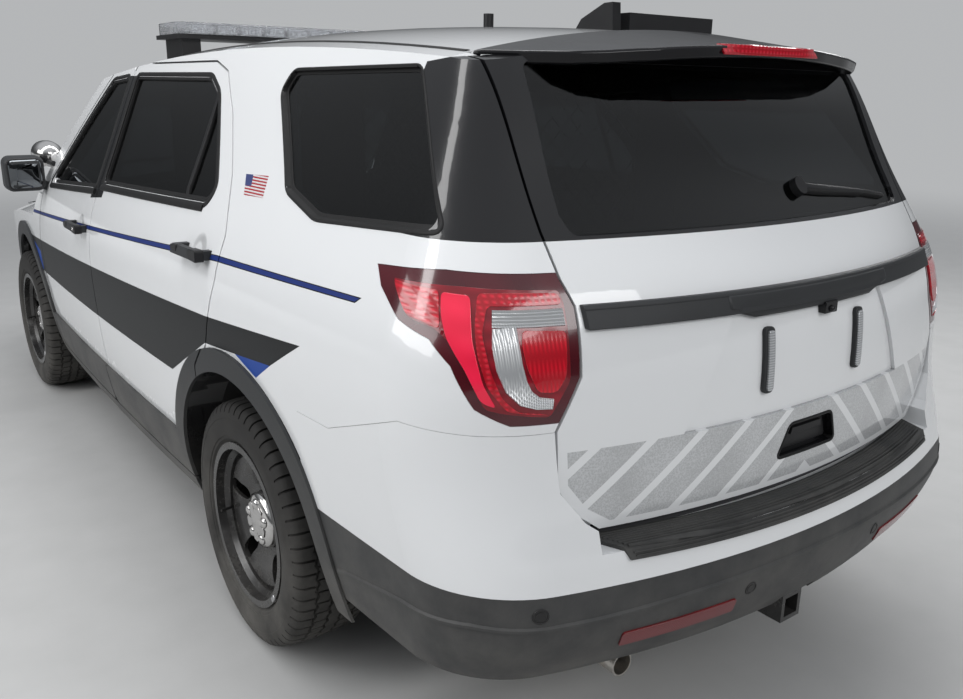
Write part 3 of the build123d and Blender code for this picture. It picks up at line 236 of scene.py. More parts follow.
# the inner faces of the panels, which are lined in dark cloth and board
lining, _, lining_out = effect("cabin_side", (), [("Inside", "Float")])
from_middle = place(lining, "VectorMath", {0: here(lining), 1: CABIN_MIDDLE}, operation="SUBTRACT")
from_middle = place(lining, "VectorMath", {0: from_middle, 1: CABIN_STRETCH}, operation="MULTIPLY")
from_middle = place(lining, "VectorMath", {0: from_middle}, operation="NORMALIZE")
facing = place(lining, "VectorMath", {0: from_middle, 1: place(lining, "TexCoord", out=1)}, 1,
    operation="DOT_PRODUCT")
feed(lining_out, Inside=reckon("LESS_THAN", facing, INWARD))

# road dust, which gathers towards the bottom of the car
dust, dust_in, dust_out = effect("road_dust", [("Amount", "Float"), ("Top", "Float")], [("Dust", "Float")])
_, _, z = axes(dust)
cloud = noise(dust, 7.0, 7.0, 0.65)
low = ranged(z, dust_in["Top"], 0.1)
speck = ranged(cloud, 0.25, 0.75, 0.05)
feed(dust_out, Dust=times(times(low, speck), dust_in["Amount"]))

# the dished cups pressed into the doors behind their handles
cups, _, cups_out = effect("handle_cups", (), [("Height", "Float")])
_, y, z = axes(cups)
reaches = [reckon("SQRT", squared(y, z, cup_y + 0.005, cup_z)) for cup_y, cup_z in HANDLES.values()]
bowls = [ranged(reach, 0.02, 0.052, interpolation_type="SMOOTHSTEP") for reach in reaches]
feed(cups_out, Height=reduce(smaller, bowls))


def group(tree, source, sockets=()):
    """Places one effect in a material and returns its outputs."""
    node = tree.nodes.new("ShaderNodeGroup")
    node.node_tree = source
    return filled(node, sockets)


def material(name, slot, **constants):
    """A new material for one of the record's slots, its node tree and its Principled shader's sockets."""
    made = bpy.data.materials.new(name)
    made.use_nodes = True
    made["slot"] = slot
    principled = made.node_tree.nodes["Principled BSDF"]
    filled(principled, {label.replace("_", " "): value for label, value in constants.items()})
    return made, made.node_tree, principled.inputs


def dress(finish, names):
    """Gives CAD nodes a finish. A name with {side} stands for both sides of the car."""
    for name in names.split():
        for side in SIDES if "{side}" in name else ("",):
            mesh = nodes[name.format(side=side)].data
            mesh.materials.clear()
            mesh.materials.append(finish)


def enamel(name, lined, dirt, top):
    """White enamel with the livery; a lined panel shows its dark lining inside."""
    made, tree, principled = material(name, "white_paint", Coat_Roughness=0.03, Specular_IOR_Level=0.2)
    marks = group(tree, livery)
    colour = blended(marks["Edge"], WHITE, TRIM_BLACK)
    colour = blended(marks["Core"], colour, LINE_BLUE)
    colour = blended(marks["Band"], colour, BAND_GREY)
    colour = blended(marks["Corner"], colour, CORNER_BLUE)
    beads = place(tree, "TexVoronoi", {"Vector": here(tree), "Scale": 260.0})
    beads = times(beads, times(noise(tree, 9.0, 3.0), 2.2))
    colour = blended(marks["Chevron"], colour, blended(beads, CHEVRON_GREY, CHEVRON_LIGHT))
    colour = blended(marks["Black"], colour, TRIM_BLACK)
    dusty = group(tree, dust, {"Amount": dirt, "Top": top})["Dust"]
    colour = blended(dusty, colour, DUST)
    hidden = group(tree, lining)["Inside"] if lined else 0.0
    feed(principled, Base_Color=blended(hidden, colour, LINING))
    matt = larger(hidden, times(dusty, 0.8))
    film = larger(larger(marks["Band"], marks["Edge"]), marks["Corner"])
    rough = larger(matt, times(film, 0.4))
    feed(principled, Roughness=scaled(rough, 0.5, 0.26))
    bare = larger(film, times(marks["Black"], 0.35))
    feed(principled, Coat_Weight=minus(1.0, larger(matt, bare)))
    skin = bumped(noise(tree, 160.0), 0.08, 0.0006)
    feed(principled, Normal=bumped(group(tree, cups)["Height"], 1.0, 0.014, Normal=skin))
    return made


body_paint = enamel("white_paint", True, 0.3, 0.62)
bumper_paint = enamel("bumper_paint", False, 0.12, 0.8)
dress(body_paint, "roof_panel hood front_fenders liftgate body_side_{side} front_door_{side} rear_door_{side}")
dress(bumper_paint, "front_bumper rear_bumper")


# Moulded plastic outside: cladding, bumpers' lower halves, bars, handles, mirrors and tray.
# It is dyed in the mass and grained, and fades and holds dust low down.
grain, grain_in, grain_out = effect("moulded_grain", [("Scale", "Float"), ("Fade", "Float")],
    [("Height", "Float"), ("Fade", "Float")])
cells = place(grain, "TexVoronoi", {"Vector": here(grain), "Scale": grain_in["Scale"]}, feature="SMOOTH_F1")
feed(grain_out, Height=cells, Fade=times(noise(grain, 4.5, 8.0, 0.6), grain_in["Fade"]))


def moulding(name, slot, colour, faded, roughness, scale=420.0, dirt=0.5, top=0.8, **constants):
    """A grained plastic or rubber that fades towards another colour and holds dust."""
    made, tree, principled = material(name, slot, Specular_IOR_Level=0.28, **constants)
    wear = group(tree, grain, {"Scale": scale, "Fade": 0.9})
    shade = blended(wear["Fade"], colour, faded)
    dusty = group(tree, dust, {"Amount": dirt, "Top": top})["Dust"]
    feed(principled, Base_Color=blended(dusty, shade, DUST), Roughness=scaled(wear["Fade"], 0.25, roughness))
    feed(principled, Normal=bumped(wear["Height"], 0.35, 0.0005))
    return made


cladding = moulding("cladding_plastic", "black_plastic", (0.017, 0.018, 0.019), (0.042, 0.044, 0.047), 0.4)
black_plastic = moulding("black_plastic", "black_plastic", (0.006, 0.006, 0.007), (0.018, 0.018, 0.019), 0.33,
    dirt=0.2)
seal_rubber = moulding("seal_rubber", "black_plastic", (0.004, 0.004, 0.004), (0.01, 0.01, 0.011), 0.45,
    scale=900.0, dirt=0.1)
dress(cladding, "body_cladding rear_valance step_pad liftgate_trim grille cowl")
dress(cladding, "front_door_trim_{side} rear_door_trim_{side}")
dress(black_plastic, "outside_fittings light_bar radiator rear_wheelhouses front_wheelhouses")


# The black mouldings round the windows, of grained PVC over a rubber seal, clipped to the
# edge of each opening, with the glass run inside it and the bars that divide the glass.
grounds = {}


def around(x, y, reach):
    """A way of looking at the car level from all round an upright axis; u is an arc at one reach."""
    def sight(u, v):
        way = Vector((sin(u / reach), cos(u / reach), 0))
        return Vector((x, y, v)) + way * 2.0, -way
    return sight


def straight(axis, start, way):
    """A way of looking at the car along an axis, from a start on it."""
    def sight(*spot):
        return Vector((*spot[:axis], start, *spot[axis:])), Vector([way * (i == axis) for i in range(3)])
    return sight


LAMP_REACH = 0.36
LOOKS = {"side": straight(0, 1.5, -1), "far": straight(0, -1.5, 1), "inner": straight(0, 0.2, 1),
         "rear": straight(1, 3.2, -1), "front": straight(1, -3.2, 1), "within": straight(1, 1.6, 1),
         "dash": straight(1, -0.3, -1), "top": straight(2, 2.6, -1),
         "lamp": around(0.62, 1.98, LAMP_REACH), "tail": around(0.0, 1.75, 0.85)}
ROUND = [(-1, 0.0), (-0.85, 0.6), (-0.5, 0.95), (0, 1), (0.5, 0.95), (0.85, 0.6), (1, 0.0)]
FLAT = [(-1, 0.6), (-0.88, 1), (0.88, 1), (1, 0.6)]


def ground_of(names):
    """The surfaces of some CAD nodes as one search tree."""
    if names not in grounds:
        points, faces = [], []
        for name in names.split():
            mesh = nodes[name].data
            first = len(points)
            points += [vertex.co.copy() for vertex in mesh.vertices]
            faces += [[first + i for i in face.vertices] for face in mesh.polygons]
        grounds[names] = BVHTree.FromPolygons(points, faces)
    return grounds[names]


def laid(look, on, spots, faces, heights, sink=0.0008, bridge=0):
    """A thin closed shape that lies on the panels; rows of bridge spots span a seam straight."""
    ground, under, ways, reach = ground_of(on), [], [], None
    for u, v in spots:
        start, way = LOOKS[look](u, v)
        hit = ground.ray_cast(start, way)
        if hit[0] is None:
            reach = (ground.find_nearest(start + way * (reach or 0.7))[0] - start).dot(way)
        else:
            reach = hit[3]
        under.append(start + way * reach)
        ways.append(way)
    for first in range(0, len(under), bridge) if bridge else ():
        low, high = under[first], under[first + bridge - 1]
        for step in range(bridge):
            under[first + step] = low.lerp(high, step / (bridge - 1))
    normals = [Vector() for _ in under]
    for face in faces:
        a, b, c = (under[i] for i in face[:3])
        for i in face:
            normals[i] += (b - a).cross(c - a)
    tops, bottoms = [], []
    for point, normal, way, height in zip(under, normals, ways, heights):
        normal = (normal if normal.dot(way) < 0 else -normal).normalized()
        tops.append(point + normal * height)
        bottoms.append(point - normal * sink)
    count = len(tops)
    edges = {(a, b) for face in faces for a, b in zip(face, (*face[1:], face[0]))}
    rims = [(a, b, b + count, a + count) for a, b in edges if (b, a) not in edges]
    return tops + bottoms, [list(face) for face in faces] + [[i + count for i in face[::-1]]
        for face in faces] + rims


def spaced(path, step, closed=False):
    """A path cut into pieces no longer than a step, with its corners kept."""
    path = [Vector(point) for point in path]
    cut = []
    for a, b in zip(path, path[1:] + path[:1] if closed else path[1:]):
        parts = max(1, round((b - a).length / step + 0.4))
        cut += [a.lerp(b, i / parts) for i in range(parts)]
    return cut if closed else cut + [path[-1]]


def rounded(corners, radius):
    """A closed outline with its corners rounded."""
    outline = []
    corners = [Vector(corner) for corner in corners]
    for before, corner, after in zip(corners[-1:] + corners[:-1], corners, corners[1:] + corners[:1]):
        back, forth = before - corner, after - corner
        reach = min(radius, 0.45 * back.length, 0.45 * forth.length)
        start, end = corner + back.normalized() * reach, corner + forth.normalized() * reach
        outline += [start.lerp(corner, i / 5).lerp(corner.lerp(end, i / 5), i / 5) for i in range(6)]
    return outline


def oblong(left, right, low, high, radius=0.0):
    """An upright rectangle, with rounded corners where it has a radius."""
    corners = [(left, low), (right, low), (right, high), (left, high)]
    return rounded(corners, radius) if radius else corners


def circle(u, v, radius, count=28):
    """A round outline."""
    return [(u + radius * cos(tau * i / count), v + radius * sin(tau * i / count)) for i in range(count)]


def band(look, on, path, half, height, section=ROUND, step=0.03, closed=False, shift=0.0, bridged=False):
    """A strip along a path, shifted to its left; a third value at a point adds to its half width."""
    path = spaced(path, step, closed)
    halves = [half + sum(point[2:]) for point in path]
    path = [point.xy for point in path]
    count = len(path)
    spots, heights, faces = [], [], []
    for i, point in enumerate(path):
        before = path[i - 1] if closed or i else 2 * point - path[1]
        after = path[(i + 1) % count] if closed or i < count - 1 else 2 * point - path[-2]
        first, along = (point - before).normalized(), (after - before).normalized()
        across = Vector((-along.y, along.x)) / max(0.6, along.dot(first))
        for share, rise in section:
            spots.append(point + across * (shift + halves[i] * share))
            heights.append(height * rise)
    rows = len(section)
    for i in range(count if closed else count - 1):
        for j in range(rows - 1):
            a, b = i * rows + j, (i + 1) % count * rows + j
            faces.append((a, b, b + 1, a + 1))
    return laid(look, on, spots, faces, heights, bridge=rows if bridged else 0)


loop = partial(band, closed=True)


def within(point, outline):
    """True inside an outline."""
    inside = False
    for a, b in zip(outline, outline[1:] + outline[:1]):
        if (a[1] > point[1]) != (b[1] > point[1]):
            inside ^= point[0] < a[0] + (point[1] - a[1]) / (b[1] - a[1]) * (b[0] - a[0])
    return inside


def patch(look, on, outline, height, step=0.025, sink=0.0008):
    """A plate with any outline that lies on the panels."""
    edge = spaced(outline, step, True)
    low_u, high_u = min(p.x for p in edge), max(p.x for p in edge)
    low_v, high_v = min(p.y for p in edge), max(p.y for p in edge)
    fill = [Vector((low_u + i * step, low_v + j * step)) for i in range(1, int((high_u - low_u) / step) + 1)
        for j in range(1, int((high_v - low_v) / step) + 1)]
    fill = [p for p in fill if within(p, edge) and min((p - q).length for q in edge) > step * 0.35]
    spots, _, faces, *_ = delaunay_2d_cdt(edge + fill, [], [list(range(len(edge)))], 1, 1e-7)
    return laid(look, on, spots, faces, [height] * len(spots), sink)


def piece(name, shapes, finish, body="body", soft=0.0, sharp=35):
    """One object of closed shapes. A name with {side} is made for both sides of the car."""
    points, faces = [], []
    for more, rows in shapes:
        first = len(points)
        points += [tuple(point) for point in more]
        faces += [[first + i for i in row] for row in rows]
    made = []
    for side, way in SIDES.items() if "{side}" in name else (("", 1),):
        mesh = bpy.data.meshes.new(name.format(side=side))
        mesh.from_pydata([(way * x, y, z) for x, y, z in points], [], faces)
        work = bmesh.new()
        work.from_mesh(mesh)
        bmesh.ops.remove_doubles(work, verts=work.verts, dist=1e-6)
        bmesh.ops.recalc_face_normals(work, faces=work.faces)
        work.to_mesh(mesh)
        work.free()
        mesh.shade_smooth()
        mesh.set_sharp_from_angle(angle=radians(sharp))
        mesh.materials.append(finish)
        thing = bpy.data.objects.new(mesh.name, mesh)
        scene.collection.objects.link(thing)
        if soft:
            bevel = thing.modifiers.new("soft", "BEVEL")
            bevel.width, bevel.segments, bevel.angle_limit = soft, 2, radians(40)
        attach(thing, body.format(side=side))
        made.append(thing)
    return made


WINDOWS = {"front_door": [(-0.842, 1.142), (-0.078, 1.19), (-0.078, 1.594), (-0.276, 1.58)],
           "rear_door": [(0.016, 1.212), (1.02, 1.246), (1.045, 1.29), (0.84, 1.545), (0.74, 1.594), (0.016, 1.597)],
           "body_side": [(1.245, 1.56), (1.46, 1.32), (1.64, 1.272), (2.098, 1.296), (1.845, 1.618), (1.275, 1.612)]}
for panel, opening in WINDOWS.items():
    opening = rounded(opening, 0.024)
    body, on, glass = panel + "_{side}", panel + "_left", panel + "_glass_left"
    half, shift, proud = 0.0075, -0.0085, 0.0085
    if panel == "body_side":
        body, on, glass = "body", "body_side_left fixed_glass", "fixed_glass"
        half, shift, proud = 0.006, -0.001, 0.002
    frame_strip = loop("side", on, opening, half, 0.0025, shift=shift, step=0.025)
    piece(panel + "_surround_{side}", [frame_strip], seal_rubber, body)
    run = loop("side", glass, opening, 0.0055, proud, FLAT, shift=0.0065, step=0.025)
    piece(panel + "_glass_run_{side}", [run], seal_rubber, body)
divider = band("side", "rear_door_glass_left", [(0.846, 1.24), (0.836, 1.54)], 0.011, 0.009, FLAT)
piece("door_glass_divider_{side}", [divider], black_plastic, "rear_door_{side}", 0.001)
BELTS = [("belt_moulding", "front_door", [(-0.835, 1.13), (-0.07, 1.176)]),
         ("rear_belt_moulding", "rear_door", [(0.004, 1.198), (1.01, 1.231)])]
for name, door, line in BELTS:
    piece(name + "_{side}", [band("side", door + "_left", line, 0.011, 0.006)], seal_rubber, door + "_{side}")


# The flag decals on the rear quarters: printed vinyl, stuck flat on the paint behind the
# rear doors. The print is generic: stripes with a blue corner.
flag, tree, principled = material("flag_vinyl", "white_paint", Roughness=0.35, Coat_Weight=0.6)
_, y, z = axes(tree)
stripes = reckon("LESS_THAN", reckon("FRACT", scaled(z, 128.0, 0.1)), 0.52)
canton = patch_mask(y, z, [(1.2, 1.311), (1.262, 1.314), (1.245, 1.36), (1.19, 1.36)])
colour = blended(stripes, (0.62, 0.62, 0.63), (0.36, 0.016, 0.022))
feed(principled, Base_Color=blended(canton, colour, (0.03, 0.045, 0.16)))
outline = [(1.238, 1.289), (1.35, 1.292), (1.338, 1.346), (1.207, 1.341)]
piece("flag_{side}", [patch("side", "body_side_left", outline, 0.0004, 0.02, 0.0002)], flag)


# Gloss black: injection moulded plastic, lacquered and slightly hazy, for the spoiler over the
# liftgate glass, the housing of the reversing camera and the screens in the dashboard.
gloss_black, tree, principled = material("gloss_black", "gloss_black", Base_Color=TRIM_BLACK, Coat_Weight=0.45,
    Coat_Roughness=0.02, Specular_IOR_Level=0.1)
haze = noise(tree, 9.0, 6.0)
feed(principled, Roughness=ranged(haze, 0.0, 1.0, 0.12, 0.34))
dress(gloss_black, "spoiler")


# Windows: tempered glass of the doors and the liftgate and laminated glass in front, 5 mm
# thick, tinted dark and bedded in the rubber round its edge.
dark_glass, tree, principled = material("dark_glass", "dark_glass", Transmission_Weight=1.0, Roughness=0.0,
    IOR=1.42)
film = noise(tree, 3.0, 4.0)
feed(principled, Base_Color=blended(film, (0.07, 0.08, 0.085), (0.11, 0.12, 0.125)))
dress(dark_glass, "fixed_glass liftgate_glass front_door_glass_{side} rear_door_glass_{side}")


# Tyres: moulded black rubber with four zigzag grooves, shoulder lugs and cross sipes.
# They replace the plain tyres of the CAD, on the same beads.
def turned(profile, at, axis=(1, 0, 0), turns=40):
    """A shape turned about an axis; profile rows are the distance along the axis and the radius."""
    axis = Vector(axis).normalized()
    side = axis.orthogonal().normalized()
    other = axis.cross(side)
    spokes = [side * cos(tau * k / turns) + other * sin(tau * k / turns) for k in range(turns)]
    points = [Vector(at) + axis * reach + spoke * radius for reach, radius in profile for spoke in spokes]
    rows = len(profile)
    faces = [(j * turns + k, j * turns + (k + 1) % turns, (j + 1) % rows * turns + (k + 1) % turns,
        (j + 1) % rows * turns + k) for j in range(rows) for k in range(turns)]
    return points, faces


PITCHES = 58
# steps within one pitch: share of the pitch, share of the zigzag, cut in the shoulders, cut in the middle
TREAD_STEPS = [(0.0, -1.0, 1, 0), (0.03, -0.9, 0, 0), (0.34, -0.1, 0, 0), (0.37, 0.0, 0, 1), (0.47, 0.3, 0, 1),
               (0.5, 0.9, 0, 0), (0.84, 0.1, 0, 0), (0.87, 0.0, 1, 0)]
SIDEWALL = [(0.0975, 0.2295), (0.106, 0.23), (0.1063, 0.2425), (0.11, 0.249), (0.115, 0.253), (0.1165, 0.26),
            (0.1185, 0.261), (0.1205, 0.27), (0.1222, 0.29), (0.1225, 0.305), (0.1212, 0.311), (0.1222, 0.3125),
            (0.1205, 0.32), (0.118, 0.33)]
# tread columns from the shoulder in: across, radius, depth round the car, share of the zigzag, band of blocks
COLUMNS = [(0.1155, 0.338, 0, 0, 1), (0.112, 0.345, 0, 0, 1), (0.106, 0.352, 0, 0, 1), (0.095, 0.3568, 0, 0, 1),
           (0.066, 0.3605, 0, 1, 1), (0.0655, 0.3605, 1, 1, 1), (0.058, 0.3612, 1, 1, 2), (0.0575, 0.3612, 0, 1, 2),
           (0.0245, 0.3627, 0, 1, 2), (0.024, 0.3627, 1, 1, 2), (0.016, 0.3629, 1, 1, 0), (0.0155, 0.3629, 0, 1, 0),
           (0.0, 0.363, 0, 1, 0)]
GROOVE = 0.0085
INSIDE = [(-0.09, 0.24), (-0.108, 0.29), (-0.098, 0.335), (0.0, 0.348), (0.098, 0.335), (0.108, 0.29),
          (0.09, 0.24), (0.09, 0.2295)]


def treaded(y):
    """The mesh of one left tyre."""
    points, faces = [], []
    half = [(across, radius, 0, 0, 0) for across, radius in SIDEWALL] + COLUMNS
    ring = half + [(-across, *row) for across, *row in half[-2::-1]]
    ring += [(across, radius, 0, 0, 0) for across, radius in [(-0.09, 0.2295)] + INSIDE]
    for pitch in range(PITCHES):
        for share, zig, lug, sipe in TREAD_STEPS:
            turn = tau * (pitch + share) / PITCHES
            for across, radius, cut, swing, blocks in ring:
                deep = max(cut, lug if blocks == 1 else sipe * 0.6 if blocks == 2 else 0)
                offset = swing * zig * 0.0045 * (1 if across >= 0 else -1)
                radius -= GROOVE * deep
                points.append((AXLE_X + across + offset, y + radius * cos(turn), AXLE_Z + radius * sin(turn)))
    wide, rows = len(ring), PITCHES * len(TREAD_STEPS)
    for i in range(rows):
        for j in range(wide):
            a, b = i * wide, (i + 1) % rows * wide
            faces.append((a + j, b + j, b + (j + 1) % wide, a + (j + 1) % wide))
    return points, faces


rubber = moulding("tyre", "tyre", (0.008, 0.008, 0.008), (0.024, 0.023, 0.022), 0.62, scale=260.0, dirt=0.35,
    top=0.75)
for end, y in PLACES.items():
    tyres = piece(end + "_treaded_tyre_{side}", [treaded(y)], rubber, end + "_wheel_{side}")
    for side, tyre in zip(SIDES, tyres):
        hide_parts(f"{end}_tyre_{side}")


# Wheels: pressed steel rims in black enamel, with a polished steel cap over five nuts,
# a rubber valve and a clipped lead weight at the rim's edge.
def rod(path, radius, count=10):
    """A round bar along a path in space, with flat ends."""
    path = [Vector(point) for point in path]
    points, side = [], None
    for i, point in enumerate(path):
        along = (path[min(i + 1, len(path) - 1)] - path[max(i - 1, 0)]).normalized()
        side = along.orthogonal().normalized() if side is None else (side - along * side.dot(along)).normalized()
        other = along.cross(side)
        points += [point + (side * cos(tau * k / count) + other * sin(tau * k / count)) * radius
            for k in range(count)]
    faces = [(i * count + k, i * count + (k + 1) % count, (i + 1) * count + (k + 1) % count,
        (i + 1) * count + k) for i in range(len(path) - 1) for k in range(count)]
    last = (len(path) - 1) * count
    return points, faces + [list(range(count))[::-1], [last + k for k in range(count)]]


def slab(axis, outline, low, high):
    """An outline drawn out between two depths along one axis of the car."""
    count = len(outline)
    at = "xyz".index(axis)
    points = [(*spot[:at], depth, *spot[at:]) for depth in (low, high) for spot in outline]
    sides = [(k, (k + 1) % count, (k + 1) % count + count, k + count) for k in range(count)]
    return points, [list(range(count)), list(range(2 * count - 1, count - 1, -1))] + sides


def box(low, high):
    """A block between two corners."""
    return slab("z", oblong(low[0], high[0], low[1], high[1]), low[2], high[2])


def swung(shape, centre, axis, angle):
    """A shape turned about an axis through a point."""
    move = Matrix.Translation(centre) @ Matrix.Rotation(angle, 4, axis) @ Matrix.Translation(-Vector(centre))
    return [move @ Vector(point) for point in shape[0]], shape[1]


def metal(name, slot, colour, worn, roughness, metallic, dirt):
    """A painted or bare metal with worn and dusty patches."""
    made, tree, principled = material(name, slot)
    patches = noise(tree, 14.0, 8.0, 0.7)
    spots = ranged(patches, 0.5, 0.75)
    dusty = group(tree, dust, {"Amount": dirt, "Top": 0.9})["Dust"]
    feed(principled, Base_Color=blended(dusty, blended(spots, colour, worn), DUST))
    feed(principled, Roughness=scaled(spots, 0.25, roughness), Metallic=times(minus(1.0, dusty), metallic))
    feed(principled, Normal=bumped(patches, 0.2, 0.0006))
    return made


black_steel = metal("black_steel", "black_steel", (0.007, 0.007, 0.008), (0.022, 0.021, 0.02), 0.22, 0.0, 0.2)
polished = metal("polished_steel", "exhaust_steel", (0.62, 0.61, 0.6), (0.48, 0.47, 0.46), 0.14, 1.0, 0.1)
lead = metal("zinc_plate", "exhaust_steel", (0.45, 0.45, 0.46), (0.3, 0.3, 0.31), 0.35, 0.8, 0.15)
CAP = [(0.05, 0.084), (0.058, 0.085), (0.066, 0.082), (0.073, 0.072), (0.0785, 0.052), (0.0815, 0.025), (0.082, 0.0),
       (0.0795, 0.0), (0.076, 0.05), (0.064, 0.077), (0.05, 0.082)]
NUT = [(0.0, 0.0), (0.0, 0.017), (0.004, 0.0165), (0.0085, 0.013), (0.0105, 0.0085), (0.009, 0.006), (0.0085, 0.0)]
LEAF = [(-0.0085, 0.022), (0.0085, 0.022), (0.017, 0.05), (0.01, 0.06), (-0.01, 0.06), (-0.017, 0.05)]
dress(black_steel, "fuel_tank front_suspension rear_suspension tow_receiver front_rim_{side} rear_rim_{side}")
for end, axle_y in PLACES.items():
    hub = Vector((AXLE_X, axle_y, AXLE_Z))
    shapes = [turned(CAP, hub, turns=60)]
    for k in range(5):
        shapes.append(swung(turned(NUT, hub + Vector((0.0735, 0, 0.054)), turns=18), hub, "X", tau * k / 5))
        leaf = slab("x", [(axle_y + u, AXLE_Z + v) for u, v in LEAF], AXLE_X + 0.074, AXLE_X + 0.0812)
        shapes.append(swung(leaf, hub, "X", tau * (k + 0.5) / 5))
    piece(end + "_wheel_cap_{side}", shapes, polished, end + "_wheel_{side}", 0.0012)
    weight = oblong(axle_y - 0.013, axle_y + 0.013, AXLE_Z + 0.226, AXLE_Z + 0.241)
    clip = slab("x", weight, AXLE_X + 0.104, AXLE_X + 0.1155)
    piece(end + "_wheel_weight_{side}", [swung(clip, hub, "X", radians(230))], lead, end + "_wheel_{side}",
        0.003)
    stem = [hub + Vector((reach, 0, up)) for reach, up in ((0.072, 0.205), (0.085, 0.2), (0.112, 0.192))]
    piece(end + "_valve_{side}", [swung(rod(stem, 0.0045), hub, "X", radians(100))], seal_rubber,
        end + "_wheel_{side}", 0.001)


# The light bar's cover: clear polycarbonate, moulded with fine ribs that scatter the light.
# The finish is set here; the cover itself is made with the light bar.
clear_lens, tree, principled = material("clear_lens", "clear_lens", Transmission_Weight=0.85, Roughness=0.05,
    IOR=1.49)
ribs = place(tree, "TexWave", {"Vector": here(tree), "Scale": 60.0, "Distortion": 0.4})
feed(principled, Base_Color=blended(ribs, (0.8, 0.82, 0.85), (0.93, 0.94, 0.96)))
feed(principled, Normal=bumped(ribs, 0.3, 0.002))
dress(clear_lens, "light_bar_lens")


# Tail lamps: a dark red acrylic housing wrapped round the corner, with a prismed red
# chamber, a smooth light guide, a clear ribbed reversing lens and a red brake block.
def lens(name, slot, dark, bright, scale, across, rough=0.15, metallic=0.0):
    """A moulded lens whose prisms show as fine lines under a smooth face."""
    made, tree, principled = material(name, slot, Coat_Weight=0.6, Coat_Roughness=0.02, Roughness=rough,
        Metallic=metallic)
    spot = here(tree)
    lines = place(tree, "TexWave", {"Vector": spot, "Scale": scale, "Distortion": 0.3}, bands_direction="Z")
    crossed = place(tree, "TexWave", {"Vector": spot, "Scale": across, "Distortion": 0.3}, bands_direction="X")
    prisms = times(lines, crossed)
    feed(principled, Base_Color=blended(prisms, dark, bright), Normal=bumped(prisms, 0.35, 0.0015))
    return made


lamp_dark = lens("lamp_housing_red", "red_lens", (0.055, 0.002, 0.006), (0.075, 0.003, 0.008), 3.0, 3.0)
lamp_base = lens("lamp_chamber_red", "red_lens", (0.17, 0.002, 0.008), (0.26, 0.004, 0.014), 9.0, 6.0)
lamp_red = lens("lamp_prism_red", "red_lens", (0.36, 0.003, 0.012), (0.62, 0.01, 0.03), 30.0, 26.0)
lamp_brake = lens("lamp_brake_red", "red_lens", (0.4, 0.003, 0.012), (0.62, 0.007, 0.022), 7.0, 38.0)
lamp_guide = lens("lamp_guide_red", "red_lens", (0.78, 0.01, 0.05), (0.88, 0.016, 0.065), 5.0, 5.0)
lamp_clear = lens("lamp_clear", "clear_lens", (0.38, 0.39, 0.4), (0.9, 0.91, 0.92), 3.0, 70.0, 0.12, 0.15)
reflector_red = lens("reflector_red", "red_lens", (0.11, 0.003, 0.006), (0.24, 0.006, 0.01), 60.0, 60.0, 0.3)
dress(lamp_dark, "tail_lamps")
DEGREE = radians(1) * LAMP_REACH
LAMP_ZONES = {
    "lamp_chamber": (lamp_base, 0.0012, [(80.4, 1.2), (46.5, 1.203), (23.8, 1.199), (9.0, 1.196), (8.2, 1.172),
                                         (9.0, 1.027), (16.0, 0.957), (29.5, 0.969), (36.3, 0.978), (41.0, 1.035),
                                         (47.3, 1.098), (54.1, 1.123), (66.8, 1.137), (79.0, 1.189)]),
    "lamp_front": (lamp_red, 0.003, [(79.0, 1.197), (54.7, 1.193), (52.2, 1.123), (60.7, 1.134), (67.6, 1.141),
                                      (77.8, 1.188)]),
    "lamp_guide": (lamp_guide, 0.0042, [(53.6, 1.19), (42.0, 1.187), (40.6, 1.109), (36.9, 1.027), (32.6, 0.981),
                                        (37.4, 0.992), (42.7, 1.053), (49.6, 1.11), (52.4, 1.15)]),
    "lamp_top": (lamp_red, 0.003, [(39.5, 1.192), (24.0, 1.194), (9.6, 1.19), (9.2, 1.17), (36.0, 1.17),
                                    (37.5, 1.12), (34.5, 1.05), (31.0, 1.0), (26.0, 0.972), (18.0, 0.966),
                                    (16.5, 0.962), (29.5, 0.974), (35.5, 1.02), (38.8, 1.08), (40.0, 1.13)]),
    "lamp_brake": (lamp_brake, 0.004, [(24.4, 1.127), (9.2, 1.122), (10.4, 1.036), (13.8, 1.006), (19.9, 1.009),
                                      (23.2, 1.055), (24.6, 1.097)])}
for name, (finish, height, corners) in LAMP_ZONES.items():
    outline = rounded([(u * DEGREE, v) for u, v in corners], 0.012)
    piece(name + "_{side}", [patch("lamp", "tail_lamps", outline, height, 0.013)], finish, soft=0.0008)
RIDGES = [(-1, 0.2), (-0.9, 1), (-0.72, 0.45), (-0.55, 1), (-0.38, 0.45), (-0.2, 1), (0, 0.45), (0.2, 1), (0.38, 0.45),
          (0.55, 1), (0.72, 0.45), (0.9, 1), (1, 0.2)]
# the bar and the leg of the reversing lens: angle round the lamp, height and half width
REVERSE = [[(9.2, 1.1475, 0.0165), (34.2, 1.1475, 0.0165)],
           [(30.1, 1.1315, 0.026), (29.8, 1.1, 0.028), (28.7, 1.06, 0.027), (26.7, 1.024, 0.0235),
            (23.8, 1.0, 0.018), (20.0, 0.988, 0.0125), (15.0, 0.984, 0.0105)]]
paths = [[(u * DEGREE, v, wide) for u, v, wide in path] for path in REVERSE]
shapes = [band("lamp", "tail_lamps", path, 0.0, 0.0045, RIDGES, 0.012) for path in paths]
piece("lamp_reverse_{side}", shapes, lamp_clear, sharp=60)


